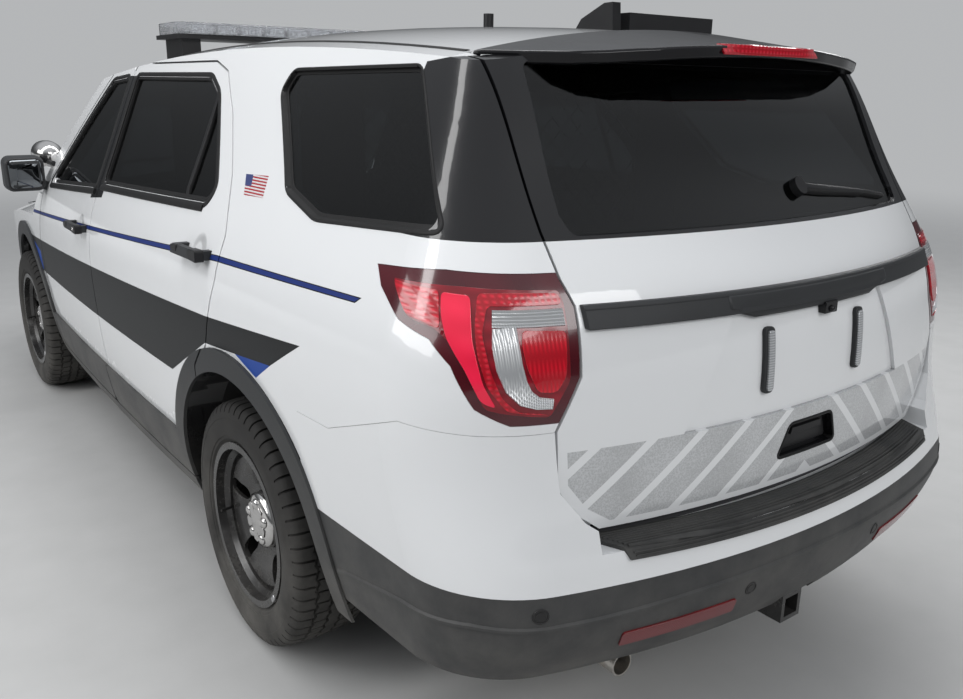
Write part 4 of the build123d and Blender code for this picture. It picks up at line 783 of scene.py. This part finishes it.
# The rear of the liftgate: the grip bar's swell with the reversing camera, the black
# mouth of the pull-out pocket, the two clip-on warning lamps and the wiper.
silver_lens = lens("led_lens", "clear_lens", (0.3, 0.31, 0.32), (0.8, 0.82, 0.84), 55.0, 80.0, 0.08, 0.4)
swell = [(-0.3, 1.128), (-0.215, 1.107), (0.215, 1.107), (0.3, 1.128), (0.3, 1.158), (-0.3, 1.158)]
piece("gate_bar_swell", [patch("rear", "liftgate", swell, 0.0165, 0.03)], cladding, "liftgate", 0.007)
bar_top = [(x / 10 * 0.636, 1.1685) for x in range(-10, 11)]
piece("gate_bar_lip", [band("rear", "liftgate_trim", [(x, z - 0.006) for x, z in bar_top], 0.004, 0.0015)],
    cladding, "liftgate")
eye = Vector((-0.035, 2.436, 1.099))
housing = box(eye + Vector((-0.024, -0.022, -0.012)), eye + Vector((0.024, 0.004, 0.016)))
lens_ring = turned([(0.0, 0.0), (0.0, 0.0095), (0.008, 0.0085), (0.011, 0.005), (0.012, 0.0)], eye,
    (0, 1, -0.8), 24)
piece("reversing_camera", [housing, lens_ring], gloss_black, "liftgate", 0.002)
mouth = [(-0.108, 0.762), (0.108, 0.762), (0.078, 0.836), (-0.078, 0.836)]
frame_strip = loop("rear", "liftgate", rounded(mouth, 0.012), 0.0035, 0.0022, shift=-0.0045, step=0.015)
piece("pocket_frame", [frame_strip], seal_rubber, "liftgate")
floor_shape = rounded([(x * 0.9, 0.799 + (z - 0.799) * 0.8) for x, z in mouth], 0.01)
pull = [(-0.06, 0.806), (0.06, 0.806), (0.056, 0.822), (-0.056, 0.822)]
piece("pocket_floor", [patch("rear", "liftgate", floor_shape, 0.003, 0.02),
    patch("rear", "liftgate", pull, 0.012, 0.02)], black_plastic, "liftgate", 0.0015)
bar = nodes["liftgate_trim"].data
rows = [list(face.vertices) for face in bar.polygons if face.center.z > 1.1]
used = sorted({i for row in rows for i in row})
shapes = [([bar.vertices[i].co for i in used], [[used.index(i) for i in row] for row in rows])]
for side, way in SIDES.items():
    foot = oblong(way * 0.156, way * 0.188, 0.93, 1.08, 0.0144)
    shapes.append(patch("rear", "liftgate", foot, 0.0105, 0.007))
    oval = oblong(way * 0.1625, way * 0.1815, 0.9365, 1.0735, 0.0085)
    piece(f"warning_lamp_lens_{side}", [patch("rear", "liftgate_trim", oval, 0.005, 0.006)], silver_lens,
        "liftgate", 0.0015)
bar_and_lamps, = piece("gate_bar_and_lamps", shapes, cladding, "liftgate", 0.002)
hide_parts("liftgate_trim")
arm = [(-0.1, 1.352, 0.006), (-0.2, 1.34, 0.004), (-0.33, 1.328, 0.001), (-0.385, 1.322, 0.0)]
blade = [(-0.16, 1.349, 0.0025), (-0.3, 1.335, 0.0015), (-0.42, 1.32, 0.001), (-0.515, 1.306, 0.0)]
wiper = [band("rear", "liftgate_glass", arm, 0.006, 0.017, step=0.04),
    band("rear", "liftgate_glass", blade, 0.005, 0.014, step=0.04), patch("rear", "liftgate_glass",
    circle(-0.095, 1.352, 0.02), 0.019, 0.012)]
piece("rear_wiper", wiper, black_plastic, "liftgate", 0.001)


# The spoiler: a lacquered black moulding with swept ends over the liftgate glass, which replaces
# the plain one, and the high brake lamp let into its rear face.
WING = [(0.0, 2.238), (0.2, 2.23), (0.35, 2.205), (0.45, 2.168), (0.52, 2.12), (0.58, 2.05), (0.62, 1.99),
        (0.645, 1.956)]
outline = WING + [(-u, v) for u, v in WING[:0:-1]]
wing, = piece("wing_spoiler", [patch("top", "spoiler", outline, 0.0005, 0.03, 0.027)], gloss_black, "liftgate",
    0.005)
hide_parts("spoiler")
piece("high_lamp", [band("rear", "spoiler", [(-0.17, 1.662), (0.17, 1.662)], 0.0105, 0.004, FLAT)], lamp_red,
    "liftgate", 0.001)


# The rear bumper: a ribbed rubber tread plate that rolls over its top edge, and in the black
# lower moulding a raised line, four parking sensors and two red reflectors.
def pad_sight(u, v):
    """Looks down at 45 degrees on the bumper's top edge; v runs over the edge."""
    edge = Vector((u, 2.485 - 0.24 * u * u, 0.664 + 0.004 * u * u))
    return edge + Vector((0, v + 1.0, 1.0 - v)), Vector((0, -1, -1)).normalized()


LOOKS["pad"] = pad_sight
tread_rubber = moulding("tread_rubber", "black_plastic", (0.016, 0.017, 0.018), (0.04, 0.042, 0.044), 0.6,
    dirt=0.3, top=1.4)
PAD = [(-0.622, -0.0265), (-0.575, 0.024), (0.575, 0.024), (0.622, -0.0265)]
shapes = [patch("pad", "rear_bumper", PAD, 0.009, 0.02)]
for row in range(10):
    half = 0.604 - 0.0045 * row
    path = [(x / 10 * half, -0.0225 + 0.0046 * row) for x in range(-10, 11)]
    shapes.append(band("pad", "rear_bumper", path, 0.0016, 0.0115, step=0.06))
pad, = piece("tread_plate", shapes, tread_rubber, soft=0.0008)
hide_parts("step_pad")
GROOVE_LINE = [(1.26, 0.455), (1.23, 0.467), (1.024, 0.512), (0.863, 0.533), (0.749, 0.53), (0.648, 0.531),
               (0.43, 0.54), (0.253, 0.545), (0.0, 0.548)]
LEDGE = [(-1, 0.0), (-0.3, 1), (0.8, 1), (1, 0.0)]
line = GROOVE_LINE + [(-u, v) for u, v in GROOVE_LINE[-2::-1]]
piece("valance_line", [band("tail", "rear_valance", line, 0.006, 0.005, LEDGE, step=0.03)], cladding)
SENSORS = [(0.774, 0.56), (0.25, 0.5), (-0.25, 0.5), (-0.774, 0.56)]
rings = []
for u, v in SENSORS:
    rings += [loop("rear", "rear_valance", circle(u, v, 0.0145), 0.0022, 0.0022, step=0.02),
        patch("rear", "rear_valance", circle(u, v, 0.0105, 20), 0.0015, 0.012)]
piece("parking_sensors", rings, black_plastic)
outline = rounded([(0.285, 0.446), (0.585, 0.44), (0.588, 0.48), (0.29, 0.486)], 0.008)
piece("reflector_{side}", [patch("rear", "rear_valance", outline, 0.004, 0.03)], reflector_red, soft=0.0015)


# Inside: a tufted carpet on the floor, front seats in woven cloth, a rear bench moulded in one
# plastic piece, and grained plastic for the dashboard, steering wheel, partitions and rear panel.
def cloth(name, slot, colour, light, scale):
    """A woven or tufted cover with a small weave."""
    made, tree, principled = material(name, slot, Roughness=0.95, Sheen_Weight=0.2)
    weave = place(tree, "TexVoronoi", {"Vector": here(tree), "Scale": scale})
    soil = noise(tree, 5.0, 5.0)
    feed(principled, Base_Color=blended(times(weave, soil), colour, light), Normal=bumped(weave, 0.6, 0.001))
    return made


carpet = cloth("floor_carpet", "floor_carpet", (0.03, 0.03, 0.032), (0.1, 0.1, 0.11), 500.0)
seat_cloth = cloth("seat_cloth", "seat_cloth", (0.035, 0.036, 0.04), (0.14, 0.14, 0.15), 350.0)
dress(carpet, "floor_pan")
dress(seat_cloth, "front_seats")
cabin_plastic = moulding("cabin_plastic", "cabin_plastic", (0.035, 0.035, 0.037), (0.07, 0.07, 0.075), 0.55,
    dirt=0.0)
bench_plastic = moulding("bench_plastic", "bench_plastic", (0.05, 0.05, 0.055), (0.1, 0.1, 0.105), 0.45,
    dirt=0.0)
dress(cabin_plastic, "dashboard steering_wheel partitions rear_panel")
dress(bench_plastic, "rear_bench")


# Below: the cast iron of the engine block and the steering knuckles, rusty where it is worn,
# and the welded stainless steel of the exhaust, browned by heat.
cast_iron = metal("cast_iron", "cast_iron", (0.16, 0.15, 0.14), (0.16, 0.09, 0.05), 0.55, 0.7, 0.3)
exhaust_steel = metal("exhaust_steel", "exhaust_steel", (0.45, 0.43, 0.4), (0.3, 0.22, 0.15), 0.35, 1.0, 0.3)
dress(cast_iron, "engine knuckle_{side}")
dress(exhaust_steel, "exhaust")


# Door handles: the strap's squared cap with its lock, and the round pivot boss at the other
# end, moulded in black plastic and screwed to the doors.
def touch(look, on, u, v):
    """The point that a line of sight meets first."""
    start, way = LOOKS[look](u, v)
    return ground_of(on).ray_cast(start, way)[0]


def tapered(y, z, near, far, slim, wide):
    """A rounded outline that widens or narrows from its near end to its far end."""
    return rounded([(y + near, z - slim), (y + far, z - wide), (y + far, z + wide), (y + near, z + slim)],
        0.008)


for end, (y, z) in HANDLES.items():
    trim = f"{end}_door_trim_left"
    tail, nose = touch("side", trim, y + 0.066, z), touch("side", trim, y - 0.076, z)
    cap = slab("x", tapered(y, z, 0.036, 0.098, 0.0155, 0.0175), tail.x - 0.024, tail.x + 0.003)
    boss = slab("x", tapered(y, z, -0.102, -0.052, 0.0105, 0.0145), nose.x - 0.024, nose.x + 0.002)
    piece(end + "_handle_{side}", [cap, boss], black_plastic, end + "_door_{side}", 0.003)
LOCK = [(-0.002, 0.0), (-0.002, 0.0075), (0.0012, 0.007), (0.0015, 0.0045), (0.0005, 0.004), (0.0005, 0.0)]
lock_at = touch("side", "front_door_trim_left", -0.105, 1.035) + Vector((0.0032, 0, 0))
piece("key_lock", [turned(LOCK, lock_at, turns=24)], polished, "front_door_left")


# Door mirrors: a pane of silvered glass on the rear face of each moulded mirror head, held
# by a black plastic rim that snaps over its edge.
silvered, tree, principled = material("silvered_glass", "clear_lens", Metallic=1.0, Coat_Weight=1.0,
    Coat_Roughness=0.0)
film = noise(tree, 40.0)
feed(principled, Base_Color=blended(film, (0.12, 0.13, 0.14), (0.14, 0.15, 0.16)))
feed(principled, Roughness=ranged(film, 0.0, 1.0, 0.01, 0.05))
pane = [(0.972, 1.122), (1.102, 1.117), (1.106, 1.24), (0.972, 1.242)]
head = "front_door_trim_left"
piece("mirror_glass_{side}", [patch("rear", head, rounded(pane, 0.022), 0.0012, 0.02)], silvered,
    "front_door_{side}", 0.0005)
piece("mirror_rim_{side}", [loop("rear", head, rounded(pane, 0.022), 0.0035, 0.004, shift=-0.003, step=0.02)],
    black_plastic, "front_door_{side}")


# The spotlight at the driver's pillar: a deep drawn shell of polished steel over its lamp,
# crimped round a clear glass front.
spot_at = Vector((0.905, -1.0, 1.252))
SHELL = [(-0.085, 0.0585), (-0.085, 0.0605), (-0.04, 0.0625), (0.0, 0.06), (0.022, 0.05), (0.038, 0.032),
         (0.046, 0.012), (0.047, 0.0), (0.0, 0.0), (0.0, 0.0585)]
piece("spotlight_shell", [turned(SHELL, spot_at, (0, 1, 0), 48)], polished)
FRONT = [(0.0, 0.0), (0.0, 0.054), (0.004, 0.053), (0.0065, 0.03), (0.0075, 0.0)]
piece("spotlight_lens", [turned(FRONT, spot_at - Vector((0, 0.11, 0)), (0, -1, 0), 48)], silver_lens)


# The light bar: a clear polycarbonate cover over two rows of lamp modules, which replaces
# the solid cover of the CAD, on a black foot.
def tray(outline, low, high, wall):
    """An upturned tray: an outline's walls and a top, open below."""
    middle = sum(outline, Vector((0, 0))) / len(outline)
    inner = [point + (middle - point).normalized() * wall * 1.4 for point in outline]
    count = len(outline)
    rows = [(outline, low), (outline, high), (inner, high - wall), (inner, low)]
    points = [(p.x, p.y, level) for row, level in rows for p in row]
    faces = [(j * count + k, j * count + (k + 1) % count, (j + 1) % 4 * count + (k + 1) % count,
        (j + 1) % 4 * count + k) for j in (0, 2, 3) for k in range(count)]
    return points, faces + [list(range(count, 2 * count)), list(range(2 * count, 3 * count))]


low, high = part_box("light_bar_lens")
bar = oblong(low[0], high[0], low[1], high[1], 0.07)
cover, = piece("light_bar_cover", [tray(bar, low[2] + 0.0003, high[2], 0.004)], clear_lens, soft=0.004)
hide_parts("light_bar_lens")
LED = [(0.0, 0.0), (0.0, 0.0095), (0.004, 0.0085), (0.007, 0.004), (0.0075, 0.0)]
modules, frames = [], []
for row in (-0.262, -0.038):
    way = -1 if row < -0.15 else 1
    for column in range(11):
        x = -0.5 + 0.1 * column
        modules.append(box((x - 0.04, row - 0.012, 1.7625), (x + 0.04, row + 0.012, 1.792)))
        for led in (-0.025, 0.0, 0.025):
            modules.append(turned(LED, (x + led, row + way * 0.012, 1.777), (0, way, 0), 16))
frames.append(box((-0.545, -0.225, 1.7625), (0.545, -0.075, 1.772)))
for x in (-0.36, -0.12, 0.12, 0.36):
    frames.append(box((x - 0.012, -0.235, 1.77), (x + 0.012, -0.065, 1.79)))
piece("light_bar_modules", modules, silver_lens, soft=0.001)
piece("light_bar_board", frames, black_plastic, soft=0.002)
ditch = [(0.644, -0.45), (0.637, 0.6), (0.628, 1.915)]
ditch = band("top", "body_side_left roof_panel", ditch, 0.0085, 0.003, step=0.05, bridged=True)
piece("roof_ditch_{side}", [ditch], seal_rubber)


# Headlamps: black housings with two bright reflector bowls and a slim lit strip over them.
# The bowls are metallised plastic, set into the housing from the front.
lamp_black = lens("headlamp_inside", "clear_lens", (0.012, 0.012, 0.013), (0.1, 0.105, 0.11), 6.0, 24.0, 0.1,
    0.6)
dress(lamp_black, "headlamps")
shapes = []
for u, v, radius in ((0.61, 0.85, 0.04), (0.725, 0.855, 0.046)):
    at = touch("front", "headlamps", u, v)
    rings = [(-0.006, 0.0), (-0.006, radius), (0.004, radius), (0.005, radius * 0.9), (0.001, radius * 0.82),
        (0.004, radius * 0.6), (0.008, radius * 0.3), (0.009, 0.0)]
    shapes.append(turned(rings, at, (0.35, -1, 0.1), 40))
piece("headlamp_bowls_{side}", shapes, silver_lens)
strip = band("front", "headlamps", [(0.56, 0.905), (0.7, 0.912), (0.82, 0.905)], 0.006, 0.002, FLAT)
piece("headlamp_strip_{side}", [strip], lamp_clear)


# The front: crowned black bars across the grille, round fog lamps in black nests, wipers and
# their arms on the windscreen, and two washer jets in the cowl.
bars = [band("front", "grille", [(-0.42, z), (0.0, z), (0.42, z)], 0.009, 0.007, step=0.05)
    for z in (0.75, 0.8, 0.85)]
piece("grille_bars", bars, black_plastic)
nest = rounded([(0.56, 0.455), (0.76, 0.455), (0.79, 0.56), (0.6, 0.56)], 0.03)
piece("fog_nest_{side}", [patch("front", "front_bumper", nest, 0.004, 0.03)], black_plastic, soft=0.002)
fog = touch("front", "front_bumper", 0.68, 0.508)
FOG = [(0.0, 0.0), (0.0, 0.042), (0.009, 0.041), (0.01, 0.036), (0.006, 0.032), (0.011, 0.016), (0.012, 0.0)]
piece("fog_lamp_{side}", [turned(FOG, fog, (0.3, -1, 0), 36)], silver_lens)
screen = "fixed_glass"
blades = [[(0.64, -1.06), (0.34, -1.108), (0.04, -1.135)], [(-0.06, -1.135), (-0.33, -1.112), (-0.6, -1.068)]]
arms = [[(0.4, -1.128, 0.004), (0.34, -1.108, 0.0)], [(-0.26, -1.136, 0.004), (-0.33, -1.112, 0.0)]]
wipers = [band("top", screen, path, 0.006, 0.014, step=0.05) for path in blades]
wipers += [band("top", screen, path, 0.007, 0.019, step=0.02) for path in arms]
piece("front_wipers", wipers, black_plastic, soft=0.001)
JET = [(-0.004, 0.0), (-0.004, 0.009), (0.004, 0.008), (0.008, 0.004), (0.0085, 0.0)]
jets = [turned(JET, touch("top", "cowl hood", x, -1.262), (0, 0, 1), 20) for x in (-0.28, 0.28)]
piece("washer_jets", jets, black_plastic)
flap = oblong(1.64, 1.8, 0.985, 1.15, 0.04)
piece("fuel_flap_seam", [loop("far", "body_side_right", flap, 0.0018, 0.0005, step=0.02)], seal_rubber)


# Inside the doors and the liftgate: moulded cards clipped to the lining, on each door with an
# armrest, a pull and the rings of a speaker grille.
CARDS = {"front": [(-0.93, 0.5), (-0.12, 0.5), (-0.12, 1.08), (-0.8, 1.08), (-0.95, 0.85)],
         "rear": [(0.07, 0.5), (0.8, 0.5), (0.98, 0.85), (1.0, 1.1), (0.07, 1.1)]}
for end, corners in CARDS.items():
    door = f"{end}_door_left"
    middle = sum(u for u, _ in corners) / len(corners)
    rest = rounded([(middle - 0.27, 0.79), (middle + 0.27, 0.8), (middle + 0.27, 0.85), (middle - 0.27, 0.84)],
        0.02)
    pull = [(middle - 0.2, 0.96), (middle - 0.06, 0.966)]
    shapes = [patch("inner", door, rounded(corners, 0.06), 0.006, 0.05), patch("inner", door, rest, 0.05, 0.03),
        band("inner", door, pull, 0.011, 0.024)]
    for radius in (0.075, 0.06, 0.045, 0.03, 0.015):
        shapes.append(loop("inner", door, circle(middle - 0.2, 0.64, radius), 0.003, 0.01))
    piece(end + "_door_card_{side}", shapes, cabin_plastic, end + "_door_{side}", 0.004)
card = rounded([(-0.5, 0.8), (0.5, 0.8), (0.55, 1.05), (0.52, 1.22), (-0.52, 1.22), (-0.55, 1.05)], 0.05)
card, pull = patch("within", "liftgate", card, 0.008, 0.05), [(-0.1, 0.86), (0.1, 0.86)]
piece("gate_card", [card, band("within", "liftgate", pull, 0.02, 0.02)], cabin_plastic, "liftgate", 0.003)


# The cabin: sewn pads on the front seats, screens, vents and knobs of moulded plastic on the
# dashboard, and a lattice of steel rods welded into a frame in both partitions.
seats = "front_seats"
# cushion, back and headrest: line of sight, corners, radius of the corners, height
PADS = [("top", [(0.235, -0.385), (0.51, -0.385), (0.5, -0.02), (0.245, -0.02)], 0.04, 0.014),
        ("front", [(0.245, 0.78), (0.5, 0.78), (0.49, 1.15), (0.255, 1.15)], 0.05, 0.016),
        ("front", [(0.285, 1.315), (0.46, 1.315), (0.45, 1.395), (0.295, 1.395)], 0.03, 0.012)]
pads = [patch(look, seats, rounded(corners, radius), height, 0.03) for look, corners, radius, height in PADS]
pads += [band("front", seats, [(x, 0.76), (x, 1.17)], 0.006, 0.01) for x in (0.212, 0.532)]
for pad in piece("seat_pads_{side}", pads, seat_cloth, soft=0.006):
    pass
dash = "dashboard"
panels = [patch("dash", dash, oblong(x - w, x + w, z - h, z + h, 0.012), 0.006, 0.03)
    for x, z, w, h in ((0.0, 0.915, 0.105, 0.06), (0.372, 1.0, 0.15, 0.03), (0.0, 0.815, 0.105, 0.026))]
piece("dash_screens", panels, gloss_black, soft=0.002)
vents = [band("dash", dash, [(x - 0.05, z), (x + 0.05, z)], 0.0028, 0.006) for x in (-0.7, -0.22, 0.155, 0.66)
    for z in (0.9, 0.912, 0.924, 0.936)]
piece("dash_vents", vents, cabin_plastic)
KNOB = [(-0.004, 0.0), (-0.004, 0.013), (0.014, 0.0115), (0.016, 0.009), (0.016, 0.0)]
knobs = [turned(KNOB, touch("dash", dash, x, 0.815), (0, 1, 0.1), 24) for x in (-0.07, 0.07)]
piece("dash_knobs", knobs, black_plastic, soft=0.001)
# name, place along the car, half width, bottom and top
MESHES = [("front_mesh", 0.34, 0.562, 1.078, 1.562), ("cargo_mesh", 1.304, 0.542, 1.128, 1.562)]
MESH_PITCH = 0.075
for name, y, half, low, high in MESHES:
    rods, reach = [], high - low
    count = int((2 * half + reach) / MESH_PITCH)
    for k in range(count):
        for way in (1, -1):
            a = -half + k * MESH_PITCH
            u0, v0, u1, v1 = a, low, a - reach, high
            if u0 > half:
                u0, v0 = half, low + (a - half)
            if u1 < -half:
                u1, v1 = -half, low + (a + half)
            rods.append(rod([(way * u0, y + 0.002 * way, v0), (way * u1, y + 0.002 * way, v1)], 0.0022, 6))
    rods += [rod([(s * half, y, low), (s * half, y, high)], 0.004, 6) for s in (-1, 1)]
    rods += [rod([(-half, y, level), (half, y, level)], 0.004, 6) for level in (low, high)]
    piece(name, rods, black_steel)


# Below: the coil springs at the rear axle, wound from black painted spring steel, and the bent
# steel loops for safety chains, welded to both sides of the tow receiver.
def coil(at, radius, low, high, turns, wire):
    """An upright coil spring."""
    steps = int(turns * 20)
    return rod([(at[0] + radius * cos(tau * k / 20), at[1] + radius * sin(tau * k / 20),
        low + (high - low) * k / steps) for k in range(steps + 1)], wire, 8)


piece("rear_spring_{side}", [coil((0.52, 1.33), 0.045, 0.4, 0.56, 5, 0.007)], black_steel)
bends = [(0.022 * cos(tau * k / 12), 2.276 + 0.03 * sin(tau * k / 12)) for k in range(-3, 10)]
chain_loops = [rod([(way * 0.075 + x, y, 0.345) for x, y in bends], 0.005, 8) for way in (-1, 1)]
piece("chain_loops", chain_loops, black_steel)


# The studio: a plain pale floor that fades into the backdrop, and soft lamps. Nothing of it
# belongs to the car.
BACKDROP = (0.46, 0.47, 0.48)
floor_mesh = bpy.data.meshes.new("studio_floor")
floor_mesh.from_pydata([(-60, -60, 0), (60, -60, 0), (60, 60, 0), (-60, 60, 0)], [], [(0, 1, 2, 3)])
floor = bpy.data.objects.new("studio_floor", floor_mesh)
scene.collection.objects.link(floor)
pale, tree, principled = material("pale_floor", "floor", Roughness=0.7)
grit = noise(tree, 6.0, 8.0)
feed(principled, Base_Color=blended(grit, (0.4, 0.4, 0.395), (0.46, 0.46, 0.455)))
far = place(tree, "VectorMath", {0: here(tree)}, 1, operation="LENGTH")
far = ranged(far, 5.0, 15.0, interpolation_type="SMOOTHSTEP")
glow = place(tree, "Emission", {"Color": BACKDROP})
laid_floor = place(tree, "MixShader", {0: far, 1: tree.nodes["Principled BSDF"].outputs[0], 2: glow})
tree.links.new(laid_floor, tree.nodes["Material Output"].inputs[0])
floor_mesh.materials.append(pale)

scene.view_settings.view_transform = "Standard"
world = bpy.data.worlds.new("studio")
scene.world = world
world.use_nodes = True
tree = world.node_tree
height = tree.nodes.new("ShaderNodeSeparateXYZ")
tree.links.new(place(tree, "TexCoord", out=0), height.inputs[0])
dome = ranged(height.outputs[2], 0.05, 0.75, interpolation_type="SMOOTHSTEP")
dome = blended(dome, (0.06, 0.063, 0.066), (0.62, 0.64, 0.67))
seen = place(tree, "LightPath", out=0)
tree.links.new(blended(seen, dome, BACKDROP), tree.nodes["Background"].inputs["Color"])
# name, place, size across and along, watts
LAMPS = [("roof_strip_left", (2.6, 0.5, 5.2), (1.0, 7.0), 170),
         ("roof_strip_right", (-2.6, 0.5, 5.2), (1.0, 7.0), 170),
         ("rear_soft", (0.5, 7.5, 4.2), (5.0, 2.0), 150), ("left_soft", (7.0, -0.5, 3.4), (6.0, 2.0), 150)]
for name, spot, (across, along), watts in LAMPS:
    lamp = bpy.data.objects.new(name, bpy.data.lights.new(name, "AREA"))
    lamp.data.shape = "RECTANGLE"
    lamp.data.size, lamp.data.size_y, lamp.data.energy = across, along, watts
    scene.collection.objects.link(lamp)
    lamp.location = spot
    aim = Vector((0, 0.5, 0.8)) - lamp.location
    lamp.rotation_euler = aim.to_track_quat("-Z", "Y").to_euler()
